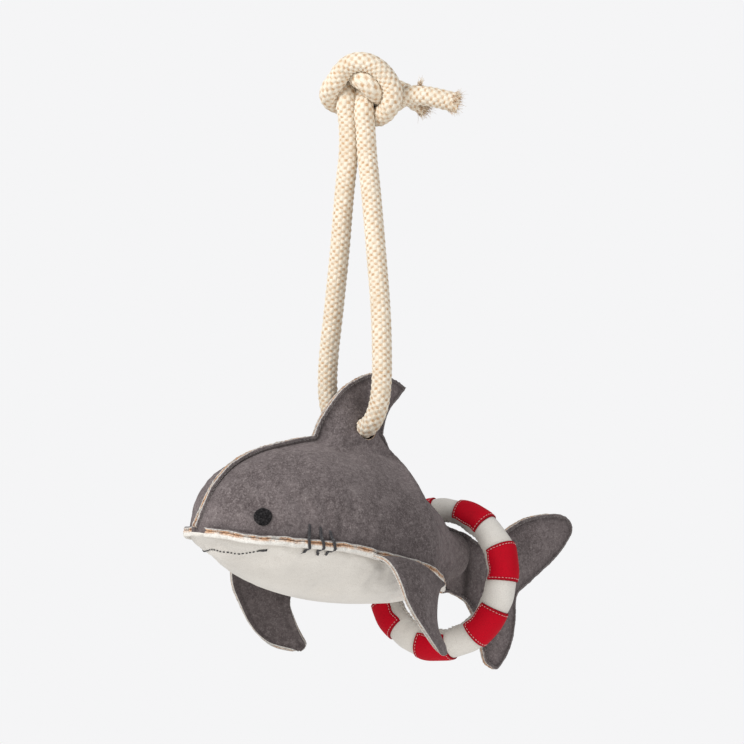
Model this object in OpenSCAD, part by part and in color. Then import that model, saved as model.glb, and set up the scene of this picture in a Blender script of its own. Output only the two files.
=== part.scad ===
// Stuffed suede shark on a rope: a sewn hanging toy with a loose life-buoy ring round its tail.
// The nose points to -X, the shark's left side is at -Y and +Z is up. The origin is where a hook
// goes, between the two rope strands just below the knot. The left and right sides are mirrored.

/* [Leather] */
// Thickness of the suede and leather panels
skin = 2.1; // [1.5:0.1:2.6]
// Width of the raw seam edges that stand proud along every seam
lip = 5.5; // [3.5:0.5:7]
// Half of the gap between two panels sewn face to face
half_gap = 0.1; // [0.05:0.05:0.15]

/* [Body] */
// Half thickness of the dorsal fin across the stuffing
dorsal_half = 6; // [5:0.5:6.5]
// Half thickness of the tail fin across its thin stuffing
tail_half = 4.5; // [4:0.5:5]
// Width of the flat sewn border of the dorsal and tail fins
fin_border = 6.5; // [5:0.5:7]
// Diameter of each round eye patch
eye_d = 12; // [8:0.5:14]
// Diameter of the embroidery thread
thread_d = 1.2; // [0.8:0.1:1.6]

/* [Pectoral fins] */
// Thickness of a pectoral fin, two layers of suede
leaf_t = 4.4; // [3:0.2:5]

/* [Life-buoy ring] */
// Radius from the centre of the ring to the middle of its tube
ring_r = 48.5; // [48:0.5:50]
// Radius of the ring's tube over the white cover
tube_r = 11; // [10:0.5:11]
// Number of red patches on the ring
patch_count = 7; // [7:1:7]
// Length of one patch, as an angle round the ring
patch_angle = 28; // [20:1:34]
// Thickness of a red patch
patch_t = 1.5; // [1:0.1:2]

/* [Rope] */
// Diameter of the braided rope
rope_d = 14; // [12:0.5:14]
// Diameter of the rope hole through the dorsal fin
hole_d = 15; // [15:0.5:16]

/* [Hidden] */

grey = [0.40, 0.37, 0.37];
white = [0.86, 0.85, 0.83];
red = [0.78, 0.06, 0.16];
black = [0.10, 0.10, 0.11];
cream = [0.92, 0.88, 0.80];
fibre = [0.95, 0.94, 0.90];

// Body lines by station along the body. The columns are: distance along X, height of the back
// seam's raw edge, greatest half width, how far the side panel wraps round (degrees from the
// back), height of the belly seam, height of the keel, and how far the belly seam's raw edge
// turns down from level (degrees).
STATIONS = [[-137, -273,  5,  90, -280, -283,  0],
            [-133, -265, 11,  90, -281, -285,  0],
            [-127, -254, 21,  90, -282, -289,  0],
            [-118, -243, 32,  90, -283, -296,  0],
            [-105, -233, 41,  90, -284, -304,  0],
            [ -85, -225, 51,  90, -286, -314,  0],
            [ -60, -220, 60,  90, -289, -323,  0],
            [ -35, -217, 65,  90, -295, -329,  0],
            [ -10, -217, 66,  91, -301, -332,  0],
            [  15, -217, 63,  95, -309, -333,  0],
            [  26, -217, 59, 100, -315, -333,  0],
            [  37, -236, 49, 106, -320, -332,  0],
            [  52, -252, 38, 120, -323, -331,  0],
            [  66, -268, 32, 138, -324, -329, 10],
            [  80, -280, 24, 158, -322, -326, 35],
            [  88, -284, 19, 166, -323, -325, 60],
            [ 100, -288, 14, 170, -328, -331, 80]];
// Stations where the panels are cut
SLICES = [-137, -135, -132, -128, -123, -117, -109, -100, -88, -74, -60, -44, -28, -12, 4, 17, 26,
          31, 37, 44, 52, 60, 68, 76, 84, 92, 100];
belly_end = 84;
section_steps = 8;

// Outline of the dorsal fin over the rope hole, in X and Z
DORSAL = [[-31, -217], [-27, -207], [-21, -199], [-13, -190], [-5, -183], [4, -178], [14, -174.5],
          [22, -174], [36, -178], [48, -184], [41, -191], [33, -199], [28, -209], [26, -217],
          [20, -223.3], [-30, -223.3]];
// Outline of the tail fin behind the crease, in X and Z
TAIL = [[105, -290], [118, -297], [130, -296], [144, -289], [160, -282], [176, -279],
        [193, -278.5], [205, -281], [211, -288], [209, -296], [198, -308], [184, -318],
        [168, -328], [155, -337], [154, -352], [152, -364], [148, -375], [141, -385],
        [135, -390], [129, -388], [124, -384], [121, -375], [117, -360], [111, -347], [105, -339]];
// The rope hole and the crease that the tail bends at
hole_z = -213;
crease_x = 105;

// Front and rear edges of the left pectoral fin, from its seam to its tip
LEAF_FRONT = [[-40, -72, -297], [-39, -81, -299], [-38, -89, -305], [-36, -94, -315],
              [-33, -96, -326], [-26, -96, -338], [-15, -96, -353], [-3, -92, -364],
              [10, -82, -370]];
LEAF_REAR = [[28, -65, -319], [22, -69, -321], [16, -74, -325], [12, -77, -330], [10, -78, -338],
             [11, -77, -345], [14, -76, -354], [18, -75, -362], [21, -73, -368]];
leaf_steps = 6;

// Centre of the ring, its lean back from upright and its turn about the vertical
ring_centre = [84, 1, -320];
ring_lean = 10;
ring_turn = 20;
patch_first = -77.5;
patch_wrap = 120;

// Route of the rope's left half, from the knot to the middle of the hole
STRAND = [[4, -8, 4], [4, -9, -18], [5, -13, -48], [5, -19, -88], [4, -25, -128], [2, -29, -160],
          [1, -29.5, -183], [0.5, -26, -199], [0, -18.5, -209.5], [0, -8.5, hole_z],
          [0, 0, hole_z]];
// Routes of the two free ends, which leave the knot towards its right
FRONT_TAIL = [[22, -22, 22], [35, -33, 21], [48, -44, 17], [58, -51, 14]];
BACK_TAIL = [[28, -8, 26], [38, -17, 25], [50, -27, 22]];
knot_centre = [5, -4, 27];
knot_size = [27.5, 20, 26];
rope_sides = 12;
small = 0.3;

// ---- curves ----

// Which pair of stations x lies between
function span(x, i = 0) =
    i >= len(STATIONS) - 2 || x <= STATIONS[i + 1][0] ? i : span(x, i + 1);
// Slope of one column at station i
function slope(i, k) =
    let (a = max(i - 1, 0), b = min(i + 1, len(STATIONS) - 1))
    (STATIONS[b][k] - STATIONS[a][k]) / (STATIONS[b][0] - STATIONS[a][0]);
// A column's value at x, on a smooth curve through the stations
function line(x, k) =
    let (i = span(x), a = STATIONS[i], b = STATIONS[i + 1], h = b[0] - a[0], t = (x - a[0]) / h)
    a[k] * (1 - 3 * t * t + 2 * t * t * t) + b[k] * (3 * t * t - 2 * t * t * t)
    + h * (slope(i, k) * (t - 2 * t * t + t * t * t) + slope(i + 1, k) * (t * t * t - t * t));
function back_z(x) = line(x, 1);
function half_w(x) = line(x, 2);
function wrap(x) = line(x, 3);
function seam_z(x) = line(x, 4);
function keel_z(x) = line(x, 5);
function lip_turn(x) = max(0, min(line(x, 6), 90));

// ---- sections across the body, as [y, z] on the right side ----

function crown(x) = back_z(x) - lip;
// The back is round at the nose and comes to a ridge under the dorsal fin
function ridge(x) = 1 + max(0, min((x + 60) / 80, (68 - x) / 40, 1));
function across(x, a) = half_w(x) * (a < 90 ? pow(sin(a), ridge(x)) : sin(a));
// The angle round from the back at which the side is y away from the middle plane
function angle_at(x, y) = asin(pow(y / half_w(x), 1 / ridge(x)));
// A point of the side panel's outer face, a degrees round from the back
function side_at(x, a) =
    [across(x, a),
     crown(x) - (crown(x) - seam_z(x)) * (1 - cos(a)) / (1 - cos(wrap(x)))];
// The same point, moved into the body by d along the section's normal
function side_in(x, a, d) =
    let (e = 0.5, t = side_at(x, a + e) - side_at(x, a - e), n = [-t[1], t[0]] / norm(t))
    side_at(x, a) - n * d;
function seam_at(x) = side_at(x, wrap(x));
function lip_out(x) = [cos(lip_turn(x)), -sin(lip_turn(x))];
function lip_up(x) = [sin(lip_turn(x)), cos(lip_turn(x))];
// The raw edge at the nose is as wide as elsewhere, so it is set by the section behind it
function lip_w(x) = max(lip, half_w(min(x + lip, 90)) - half_w(x));

function side_outer(x) =
    let (a0 = angle_at(x, skin + half_gap), a1 = wrap(x))
    concat([[skin + half_gap, back_z(x)]],
           [for (i = [0:section_steps - 1]) side_at(x, a0 + (a1 - a0) * i / section_steps)],
           [seam_at(x) + lip_up(x) * (skin + half_gap),
            seam_at(x) + lip_up(x) * (skin + half_gap) + lip_out(x) * lip_w(x)]);
function side_inner(x) =
    let (a1 = wrap(x))
    concat([[half_gap, back_z(x)], [half_gap, crown(x) - 1.2 * skin]],
           [for (i = [1:section_steps - 1]) side_in(x, a1 * i / section_steps, skin)],
           [side_in(x, a1, skin) + lip_up(x) * half_gap,
            seam_at(x) + lip_up(x) * half_gap + lip_out(x) * lip_w(x)]);

// A quarter of an oval from point p to the keel at height z
function bowl(p, z) =
    [for (i = [0:section_steps]) let (a = 90 * i / section_steps)
        [p[0] * cos(a), p[1] - (p[1] - z) * sin(a)]];
function belly_half(x, root, z) =
    concat([seam_at(x) - lip_up(x) * (z > keel_z(x) ? half_gap : skin + half_gap)
            + lip_out(x) * lip_w(x)], bowl(root, z));
function belly_outer(x) = belly_half(x, seam_at(x) - lip_up(x) * (skin + half_gap), keel_z(x));
function belly_inner(x) =
    belly_half(x, side_in(x, wrap(x), skin) - lip_up(x) * half_gap, keel_z(x) + skin);
// Both halves of a section, from the right edge under the keel to the left edge
function both(half) =
    concat(half, [for (i = [len(half) - 2:-1:0]) [-half[i][0], half[i][1]]]);

function filling_ring(x) =
    let (d = skin + small, a1 = wrap(x),
         side = [for (i = [1:section_steps]) side_in(x, a1 * i / section_steps, d)],
         under = bowl(side[section_steps - 1], keel_z(x) + d),
         half = concat(side, [for (i = [1:section_steps]) under[i]]))
    concat([[0, crown(x) - 1.2 * d]], half,
           [for (i = [len(half) - 2:-1:0]) [-half[i][0], half[i][1]]]);

// ---- solids from grids of points ----

function in_space(x, section) = [for (p = section) [x, p[0], p[1]]];

// The two triangles of a quad, split along one diagonal or, when turned, along the other. Pieces
// that lie against each other are split the same way, so that they don't cut through one another.
function quad(a, b, c, d, turned) =
    turned ? [[a, b, d], [b, c, d]] : [[a, b, c], [a, c, d]];

// A closed sheet between two grids of the same size, outer and inner
module sheet(outer, inner, turned_cols = 0) {
    rows = len(outer);
    cols = len(outer[0]);
    all = rows * cols;
    points = concat([for (row = outer) each row], [for (row = inner) each row]);
    function at(r, c) = r * cols + c;
    faces = concat(
        [for (r = [0:rows - 2], c = [0:cols - 2])
            let (p = at(r, c), q = at(r + 1, c), t = c < turned_cols) each
            concat(quad(p, q, q + 1, p + 1, t),
                   quad(all + p, all + p + 1, all + q + 1, all + q, t))],
        [for (r = [0:rows - 2], c = [0, cols - 1]) let (a = at(r, c), b = at(r + 1, c)) each
            c == 0 ? [[a, all + a, all + b], [a, all + b, b]]
                   : [[a, all + b, all + a], [a, b, all + b]]],
        [for (c = [0:cols - 2], r = [0, rows - 1]) let (a = at(r, c), b = at(r, c + 1)) each
            r == 0 ? [[a, all + b, all + a], [a, b, all + b]]
                   : [[a, all + a, all + b], [a, all + b, b]]]);
    polyhedron(points, faces);
}

// A closed solid through rings of points, with a flat end at each end. The quads of a ring from
// turned_from on are split the other way.
module loft(rings, turned_from = 1000) {
    n = len(rings[0]);
    last = len(rings) - 1;
    middle = function(ring) [for (k = [0:2]) [for (p = ring) p[k]] * [for (p = ring) 1] / n];
    points = concat([for (ring = rings) each ring], [middle(rings[0]), middle(rings[last])]);
    faces = concat(
        [for (r = [0:last - 1], i = [0:n - 1]) let (a = r * n, b = a + n, j = (i + 1) % n) each
            quad(b + i, a + i, a + j, b + j, i < turned_from)],
        [for (i = [0:n - 1]) let (j = (i + 1) % n) each
            [[len(points) - 2, j, i], [len(points) - 1, last * n + i, last * n + j]]]);
    polyhedron(points, faces);
}

function unit(v) = v / norm(v);
// Direction of a route at point i
function heading(route, i) =
    unit(route[min(i + 1, len(route) - 1)] - route[max(i - 1, 0)]);
// A side vector carried along a route, so that the tube doesn't twist
function carried(route, i, side) =
    let (t = heading(route, i)) unit(side - (side * t) * t);
function sides_of(route, first, i = 0, list = []) =
    i == len(route) ? list
    : sides_of(route, first, i + 1,
               concat(list, [carried(route, i, i == 0 ? first : list[i - 1])]));
// A round tube of radius r along a route
module tube(route, r, sides, first) {
    across = sides_of(route, first);
    loft([for (i = [0:len(route) - 1]) let (u = across[i], v = cross(heading(route, i), u))
        [for (k = [0:sides - 1]) let (a = 360 * k / sides)
            route[i] + r * (cos(a) * u + sin(a) * v)]]);
}
// Points between the points of a route, on a smooth curve through them
function smooth(route, steps) =
    concat([for (i = [0:len(route) - 2]) each
        let (p = route[max(i - 1, 0)], a = route[i], b = route[i + 1],
             q = route[min(i + 2, len(route) - 1)])
        [for (j = [0:steps - 1]) let (t = j / steps)
            (2 * a + (b - p) * t + (2 * p - 5 * a + 4 * b - q) * t * t
             + (3 * a - p - 3 * b + q) * t * t * t) / 2]], [route[len(route) - 1]]);
function mirrored(route) = [for (p = route) [p[0], -p[1], p[2]]];
function reversed(route) = [for (i = [len(route) - 1:-1:0]) route[i]];

// ---- places on the skin of the left side ----

function on_side(x, a, d) = let (p = side_in(x, a, -d)) [x, -p[0], p[1]];
function side_normal(x, a) =
    let (u = on_side(x + 1, a, 0) - on_side(x - 1, a, 0),
         v = on_side(x, a + 1, 0) - on_side(x, a - 1, 0)) unit(cross(v, u));
// A point under the left belly, a degrees round from the seam towards the keel
function on_belly(x, a, d) =
    let (p = seam_at(x) - lip_up(x) * (skin + half_gap), h = p[1] - keel_z(x))
    [x, -(p[0] * cos(a) + d * cos(a)), p[1] - h * sin(a) - d * (0.3 + 0.7 * sin(a))];

// ---- body pieces ----

module left_side() {
    outer = [for (x = SLICES) mirrored(in_space(x, side_outer(x)))];
    inner = [for (x = SLICES) mirrored(in_space(x, side_inner(x)))];
    sheet(outer, inner);
}

// Half of a flat sewn fin: a tray with its open face on the middle plane and a flat border
module fin_tray(outline, half) {
    rotate([90, 0, 0]) difference() {
        translate([0, 0, half_gap]) linear_extrude(half - half_gap) polygon(outline);
        linear_extrude(half - skin) offset(delta = -fin_border) polygon(outline);
    }
}

module fin_stuffing(outline, half) {
    thick = half - skin - small;
    rotate([90, 0, 0]) translate([0, 0, -thick]) linear_extrude(2 * thick)
        offset(delta = -fin_border - small) polygon(outline);
}

module rope_hole() {
    translate([0, 0, hole_z]) rotate([90, 0, 0]) cylinder(d = hole_d, h = 40, center = true, $fn = 64);
}

module side_panel() {
    color(grey) difference() {
        union() {
            left_side();
            fin_tray(DORSAL, dorsal_half);
        }
        rope_hole();
    }
}

module left_side_panel() { side_panel(); }
module right_side_panel() { mirror([0, 1, 0]) side_panel(); }

module belly_panel() {
    cuts = [for (x = SLICES) if (x <= belly_end) x];
    color(white) sheet([for (x = cuts) reversed(in_space(x, both(belly_outer(x))))],
                       [for (x = cuts) reversed(in_space(x, both(belly_inner(x))))],
                       section_steps + 1);
}

module body_filling() {
    cuts = [for (x = SLICES) if (x > -134) x];
    color(fibre) loft([for (x = cuts) in_space(x, filling_ring(x))], 2 * section_steps);
}

module dorsal_filling() {
    color(fibre) difference() {
        fin_stuffing(DORSAL, dorsal_half);
        rope_hole();
    }
}

// ---- eyes and embroidery ----

module eye() {
    x = -109;
    a = 70;
    n = side_normal(x, a);
    color(black) translate(on_side(x, a, 0.15))
        rotate([0, acos(n[2]), atan2(n[1], n[0])]) cylinder(d = eye_d, h = 1.2, $fn = 48);
}
module left_eye() { eye(); }
module right_eye() { mirror([0, 1, 0]) eye(); }

// A smile from near the nose back along the belly, ending under the eye
module mouth_thread() {
    route = [for (i = [0:8]) let (x = -126 + 3.6 * i) on_belly(x, 28 + 14 * sin(22.5 * i), 1)];
    color(black) tube(route, thread_d / 2, 6, [0, 0, 1]);
}
module left_mouth_thread() { mouth_thread(); }
module right_mouth_thread() { mirror([0, 1, 0]) mouth_thread(); }

// Three gill threads that cross the belly seam's raw edge
module gill_threads() {
    color(black) for (x = [-81, -72, -64]) {
        edge = seam_at(x);
        out = -(edge[0] + lip_w(x) + 1);
        tube([on_side(x, 79, 1), on_side(x + 1, 84, 2.4), [x + 1, out, edge[1] + 3],
              [x + 1, out, edge[1] - 3], on_belly(x, 20, 1.8), on_belly(x - 3, 30, 1)],
             thread_d / 2, 6, [1, 0, 0]);
    }
}
module left_gill_threads() { gill_threads(); }
module right_gill_threads() { mirror([0, 1, 0]) gill_threads(); }

// ---- seam threads, each lying in the corner where a raw edge meets the skin ----

module back_seam_thread() {
    y = skin + half_gap + thread_d / 2 + 0.15;
    cuts = [for (x = SLICES) if (x > -134 && x < -32) x];
    color(grey) tube([for (x = cuts) [x, -y, back_z(x) - lip / 2]], thread_d / 2, 6, [0, 1, 0]);
}

module belly_seam_thread() {
    d = skin + half_gap + thread_d / 2 + 0.15;
    cuts = [for (x = SLICES) if (x > -134 && x < 60) x];
    color(white) tube([for (x = cuts) let (p = seam_at(x) - lip_up(x) * d + lip_out(x) * lip_w(x) * 0.6)
        [x, -p[0], p[1]]], thread_d / 2, 6, [0, 0, 1]);
}
module left_belly_seam_thread() { belly_seam_thread(); }
module right_belly_seam_thread() { mirror([0, 1, 0]) belly_seam_thread(); }

// ---- tail ----

// The tail panels start in a round edge on the crease, so that the tail can swing
module tail_panel() {
    color(grey) union() {
        fin_tray(TAIL, tail_half);
        translate([crease_x, 0, -338.5]) intersection() {
            cylinder(r = tail_half, h = 48, $fn = 48);
            translate([-tail_half, -tail_half, 0]) cube([2 * tail_half, tail_half - half_gap, 48]);
        }
    }
}
module left_tail_panel() { tail_panel(); }
module right_tail_panel() { mirror([0, 1, 0]) tail_panel(); }
module tail_filling() {
    color(fibre) difference() {
        fin_stuffing(TAIL, tail_half);
        translate([crease_x, 0, -339]) cylinder(r = tail_half + small, h = 50, $fn = 48);
    }
}

// ---- pectoral fins ----

// A point of the leaf: v runs from the seam to the tip and u from the front edge to the rear
function leaf_at(u, v) =
    let (i = min(floor(v), len(LEAF_FRONT) - 2), t = v - i,
         f = LEAF_FRONT[i] * (1 - t) + LEAF_FRONT[i + 1] * t,
         r = LEAF_REAR[i] * (1 - t) + LEAF_REAR[i + 1] * t,
         fade = max(0, 1 - v / 3), bow = 4 * u * (1 - u))
    f * (1 - u) + r * u + bow * [0, -3 - 3 * fade, 6 * fade];
function leaf_normal(u, v) =
    let (e = 0.05, n = len(LEAF_FRONT) - 1)
    unit(cross(leaf_at(min(u + e, 1), v) - leaf_at(max(u - e, 0), v),
               leaf_at(u, min(v + e, n)) - leaf_at(u, max(v - e, 0))));
module pectoral_fin() {
    rows = [0:len(LEAF_FRONT) - 1];
    color(grey) sheet(
        [for (v = rows) [for (i = [0:leaf_steps]) let (u = i / leaf_steps)
            leaf_at(u, v) + leaf_normal(u, v) * leaf_t / 2]],
        [for (v = rows) [for (i = [0:leaf_steps]) let (u = i / leaf_steps)
            leaf_at(u, v) - leaf_normal(u, v) * leaf_t / 2]]);
}
module left_pectoral_fin() { pectoral_fin(); }
module right_pectoral_fin() { mirror([0, 1, 0]) pectoral_fin(); }

// ---- life-buoy ring ----

module ring_place() {
    translate(ring_centre) rotate([0, ring_lean - 90, ring_turn]) children();
}

// A strip bent round the tube, between two radii and out to half_angle on each side
module band(inner, outer, half_angle, steps) {
    polygon(concat(
        [for (i = [0:steps]) let (a = half_angle * (2 * i / steps - 1))
            [ring_r + outer * cos(a), outer * sin(a)]],
        [for (i = [steps:-1:0]) let (a = half_angle * (2 * i / steps - 1))
            [ring_r + inner * cos(a), inner * sin(a)]]));
}

// The white cover meets itself along the inside of the ring
module ring_cover() {
    color(white) ring_place() rotate_extrude($fn = 96) band(tube_r - skin, tube_r, 176, 32);
}
module ring_filling() {
    color(fibre) ring_place() rotate_extrude($fn = 96)
        translate([ring_r, 0]) circle(r = tube_r - skin - small, $fn = 48);
}
module ring_seam_thread() {
    color(white) ring_place() rotate_extrude($fn = 96)
        translate([ring_r - tube_r + skin / 2, 0]) square([skin, 2 * half_gap + 0.8], center = true);
}
module ring_patch(k) {
    color(red) ring_place() rotate([0, 0, patch_first + k * 360 / patch_count - patch_angle / 2])
        rotate_extrude(angle = patch_angle, $fn = 96)
            band(tube_r + half_gap, tube_r + half_gap + patch_t, patch_wrap, 24);
}

// ---- rope ----

module rope_loop() {
    half = smooth(STRAND, 2);
    other = reversed(mirrored(half));
    color(cream) tube(concat(half, [for (i = [1:len(other) - 1]) other[i]]), rope_d / 2,
                      rope_sides, [1, 0, 0]);
}

// The knot as one rounded lump, turned so that its broad side faces the ring's front
module rope_knot() {
    rows = 12;
    color(cream) translate(knot_centre) rotate([0, 0, -40])
        loft([for (i = [0:rows]) let (a = 8 + 164 * i / rows)
            [for (k = [0:23]) let (b = 15 * k)
                [knot_size[0] * sin(a) * cos(b), knot_size[1] * sin(a) * sin(b),
                 -knot_size[2] * cos(a)]]]);
}
module rope_front_tail() { color(cream) tube(smooth(FRONT_TAIL, 2), rope_d / 2, rope_sides, [0, 0, 1]); }
module rope_back_tail() { color(cream) tube(smooth(BACK_TAIL, 2), rope_d / 2, rope_sides, [0, 0, 1]); }

left_side_panel();
right_side_panel();
belly_panel();
body_filling();
dorsal_filling();
left_eye();
right_eye();
left_mouth_thread();
right_mouth_thread();
left_gill_threads();
right_gill_threads();
back_seam_thread();
left_belly_seam_thread();
right_belly_seam_thread();
left_tail_panel();
right_tail_panel();
tail_filling();
left_pectoral_fin();
right_pectoral_fin();
ring_cover();
ring_filling();
ring_seam_thread();
ring_patch(0);  // ring_patch_1
ring_patch(1);  // ring_patch_2
ring_patch(2);  // ring_patch_3
ring_patch(3);  // ring_patch_4
ring_patch(4);  // ring_patch_5
ring_patch(5);  // ring_patch_6
ring_patch(6);  // ring_patch_7
rope_loop();
rope_knot();
rope_front_tail();
rope_back_tail();
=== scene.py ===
"""A stuffed suede shark hung on a knotted rope, with a loose life-buoy ring round its tail.

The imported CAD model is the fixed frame. Everything here is in its frame, and lengths are written
in millimetres and turned to metres by MM. The nose points to -X, the shark's left is -Y, +Z is up.
"""
import math

import bmesh
import bpy
import numpy as np
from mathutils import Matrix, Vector
from mathutils.bvhtree import BVHTree
from mathutils.kdtree import KDTree


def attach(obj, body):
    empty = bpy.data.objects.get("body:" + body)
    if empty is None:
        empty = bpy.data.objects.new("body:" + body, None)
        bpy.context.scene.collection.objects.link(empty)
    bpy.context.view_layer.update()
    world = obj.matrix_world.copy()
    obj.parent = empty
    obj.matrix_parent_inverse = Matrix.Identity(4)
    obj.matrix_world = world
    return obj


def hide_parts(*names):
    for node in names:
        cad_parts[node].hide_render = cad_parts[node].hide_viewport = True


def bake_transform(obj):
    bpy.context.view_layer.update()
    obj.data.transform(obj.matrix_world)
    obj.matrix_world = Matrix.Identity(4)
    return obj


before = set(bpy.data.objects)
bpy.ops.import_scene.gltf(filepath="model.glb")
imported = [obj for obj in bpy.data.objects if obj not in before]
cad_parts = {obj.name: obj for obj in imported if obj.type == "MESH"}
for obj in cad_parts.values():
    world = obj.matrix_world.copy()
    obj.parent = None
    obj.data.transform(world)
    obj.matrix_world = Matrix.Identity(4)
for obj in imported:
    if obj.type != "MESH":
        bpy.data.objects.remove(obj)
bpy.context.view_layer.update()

MM = 0.001
TURN = math.radians(40)  # the camera looks from the shark's front left
RIGHT = np.array([math.cos(TURN), -math.sin(TURN), 0.0])
FRONT = np.array([-math.sin(TURN), -math.cos(TURN), 0.0])
UP = np.array([0.0, 0.0, 1.0])

# ---------------------------------------------------------------- sizes and lines of the toy, mm

SKIN = 2.1          # thickness of the leather
LIP = 5.5           # width of the belly seam's raw edge
BACK_LIP = 2.8      # width of the raw edge round the back, the dorsal fin and the tail
HOLE_Z = -213       # height of the rope hole
BELLY_END = 77      # where the belly panel ends in a point
EYE = (-108.5, 71.5)    # place of the eye: X, and degrees round from the back
EYE_D = 12
# The mouth's stitches as X and degrees down from the belly seam, and the satin end of it
MOUTH = [(-123, 90), (-122.2, 80), (-120.3, 70), (-117.5, 61), (-113.5, 50),
         (-110.5, 42), (-109, 36)]
MOUTH_END = [(-109.4, 37), (-106, 26)]
# Gill threads: X and degrees from the back on the side, X on the raw edge, and X and degrees
# down from the seam on the belly
GILLS = [([(-81, 78), (-81, 83)], -85.5, [(-83, 10), (-84, 20)]),
         ([(-73.5, 80), (-73.5, 84)], -76.5, [(-76.5, 10), (-75.5, 19)]),
         ([(-67, 81), (-66.5, 85)], -69, [(-69.5, 10), (-69.5, 17)])]

# Body lines: X, height of the back's raw edge, half width, how far the side wraps round in
# degrees, height of the belly seam, height of the keel, turn of the belly's raw edge in degrees
STATIONS = np.array([
    [-137, -273, 5, 90, -280, -283, 0], [-133, -265, 11, 90, -281, -285, 0],
    [-127, -254, 21, 90, -282, -289, 0], [-118, -243, 32, 90, -283, -296, 0],
    [-105, -233, 41, 90, -284, -304, 0], [-85, -225, 51, 90, -286, -314, 0],
    [-60, -220, 60, 90, -289, -323, 0], [-35, -217, 65, 90, -295, -329, 0],
    [-10, -217, 66, 91, -301, -332, 0], [15, -217, 63, 95, -309, -333, 0],
    [26, -217, 59, 100, -315, -333, 0], [37, -236, 49, 106, -320, -332, 0],
    [52, -252, 38, 120, -323, -331, 0], [66, -268, 32, 138, -324, -329, 10],
    [80, -280, 24, 158, -322, -326, 35], [88, -284, 19, 166, -323, -325, 60],
    [100, -288, 14, 170, -328, -331, 80]], float)
DORSAL_FRONT = [(-36, -217), (-31.5, -207.5), (-25, -199), (-16.5, -190), (-8, -183), (2, -178),
                (13, -174.5), (22, -174), (36, -178), (48, -184)]
DORSAL_REAR = [(48, -184), (41, -191), (33, -199), (28, -209), (26, -217)]
TAIL = [(105, -290), (118, -297), (130, -296), (144, -289), (160, -282), (176, -279),
        (193, -278.5), (205, -281), (211, -288), (209, -296), (198, -308), (184, -318),
        (168, -328), (155, -337), (154, -352), (152, -364), (148, -375), (141, -385),
        (135, -390), (129, -388), (124, -384), (121, -375), (117, -360), (111, -347),
        (105, -339)]
LEAF_FRONT = [(-40, -72, -297), (-39, -81, -299), (-38, -89, -305), (-36, -94, -315),
              (-33, -96, -326), (-26, -96, -338), (-15, -96, -353), (-3, -92, -364),
              (10, -82, -370)]
LEAF_REAR = [(26, -66, -319), (19, -70, -321), (12, -75, -325), (8, -78, -330),
             (6.5, -79, -338), (8, -78, -345), (11.5, -77, -354), (16.5, -76, -362),
             (21, -73, -368)]

SIDES = (("left", -1), ("right", 1))
LEATHER_T = 1.6             # thickness of the panels' shells

RING_CENTRE = (84, 1, -320)
RING_LEAN, RING_TURN = math.radians(10), math.radians(20)
RING_R, TUBE_R = 48.5, 11
PATCHES, PATCH_FIRST, PATCH_ANGLE, PATCH_T, PATCH_WRAP = 7, -77.5, 28, 1.5, 120

ROPE_D = 14
NEAR_STRAND = [(0, 0, -213), (0, -8.5, -213), (0, -18.5, -209.5), (0.5, -26, -199),
               (1, -29.5, -183), (2, -29, -160), (4, -25, -128), (5, -19, -88),
               (6, -12.5, -48), (5.8, -8.1, -18), (5.4, -7.9, 2)]
FAR_STRAND = [(0, 0, -213), (0, 8.5, -213), (0, 18.5, -209.5), (0.5, 26, -199),
              (1, 29.5, -183), (1.5, 28.5, -160), (1.5, 23, -128), (1, 16, -88),
              (-0.5, 9, -48), (-0.3, 4.2, -18), (0, 3.7, 2)]
# The doubled rope through the knot: its middle as (right, up, front), and the near rope's
# offset from it. The far rope lies opposite.
KNOT = [((3.6, 13, 0), (6, 0, 2.6)), ((3.8, 24, -3), (6.2, 0, 2.2)), ((4.2, 35, -9), (7, 0, 0)),
        ((4, 40, -20), (7, 0, 0)), ((3, 31, -27), (7, 0, 0)), ((2, 22, -23), (5, -5, 0)),
        ((1, 18, -14), (-2, -6.5, 0)), ((-1, 20, -10), (-6, -4, 0)),
        ((-2.5, 28.5, 0), (-7, 0, 0)), ((1.5, 38, 11), (-4, 6, 0)),
        ((8, 38, 13.5), (1, 7, 0)), ((17, 32.5, 12), (4, 6, 0)),
        ((20.5, 23, 7), (6.5, 2, 0)), ((17.5, 15, 0), (5, -5, 0)),
        ((9, 14, -9), (0, -7, 0)), ((9, 20, -16), (-3, 5, -3)),
        ((19, 24, -13), (0, 6, -4)), ((31, 23.5, -5), (0, 3, -6.5))]
NEAR_TAIL = [(43, 17, -10), (52, 13.5, -9)]
FAR_TAIL = [(43.5, 22, 3), (59, 19, 4), (74, 14.5, 4)]


# ---------------------------------------------------------------- curves as arrays of points

def unit(v):
    return v / np.maximum(np.linalg.norm(v, axis=-1, keepdims=True), 1e-12)


def arc_lengths(p):
    return np.concatenate([[0], np.cumsum(np.linalg.norm(np.diff(p, axis=0), axis=1))])


def along(p, s, at):
    """The points of a line at the distances at, where s holds its own points' distances."""
    return np.stack([np.interp(at, s, p[:, k]) for k in range(p.shape[1])], -1)


def resample(p, step):
    """The same line with evenly spaced points."""
    s = arc_lengths(p)
    n = max(2, int(round(s[-1] / step)) + 1)
    return along(p, s, np.linspace(0, s[-1], n))


def spline(points, step):
    """Points about step apart on a smooth curve through the given ones."""
    p = np.asarray(points, float)
    p = np.vstack([2 * p[0] - p[1], p, 2 * p[-1] - p[-2]])
    t = np.linspace(0, 1, 12, endpoint=False)[:, None]
    out = []
    for a, b, c, d in zip(p[:-3], p[1:-2], p[2:-1], p[3:]):
        out.append(0.5 * (2 * b + (c - a) * t + (2 * a - 5 * b + 4 * c - d) * t * t
                          + (3 * b - a - 3 * c + d) * t ** 3))
    return resample(np.vstack(out + [p[-2][None]]), step)


def tangents(p):
    return unit(np.gradient(p, axis=0))


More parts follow.
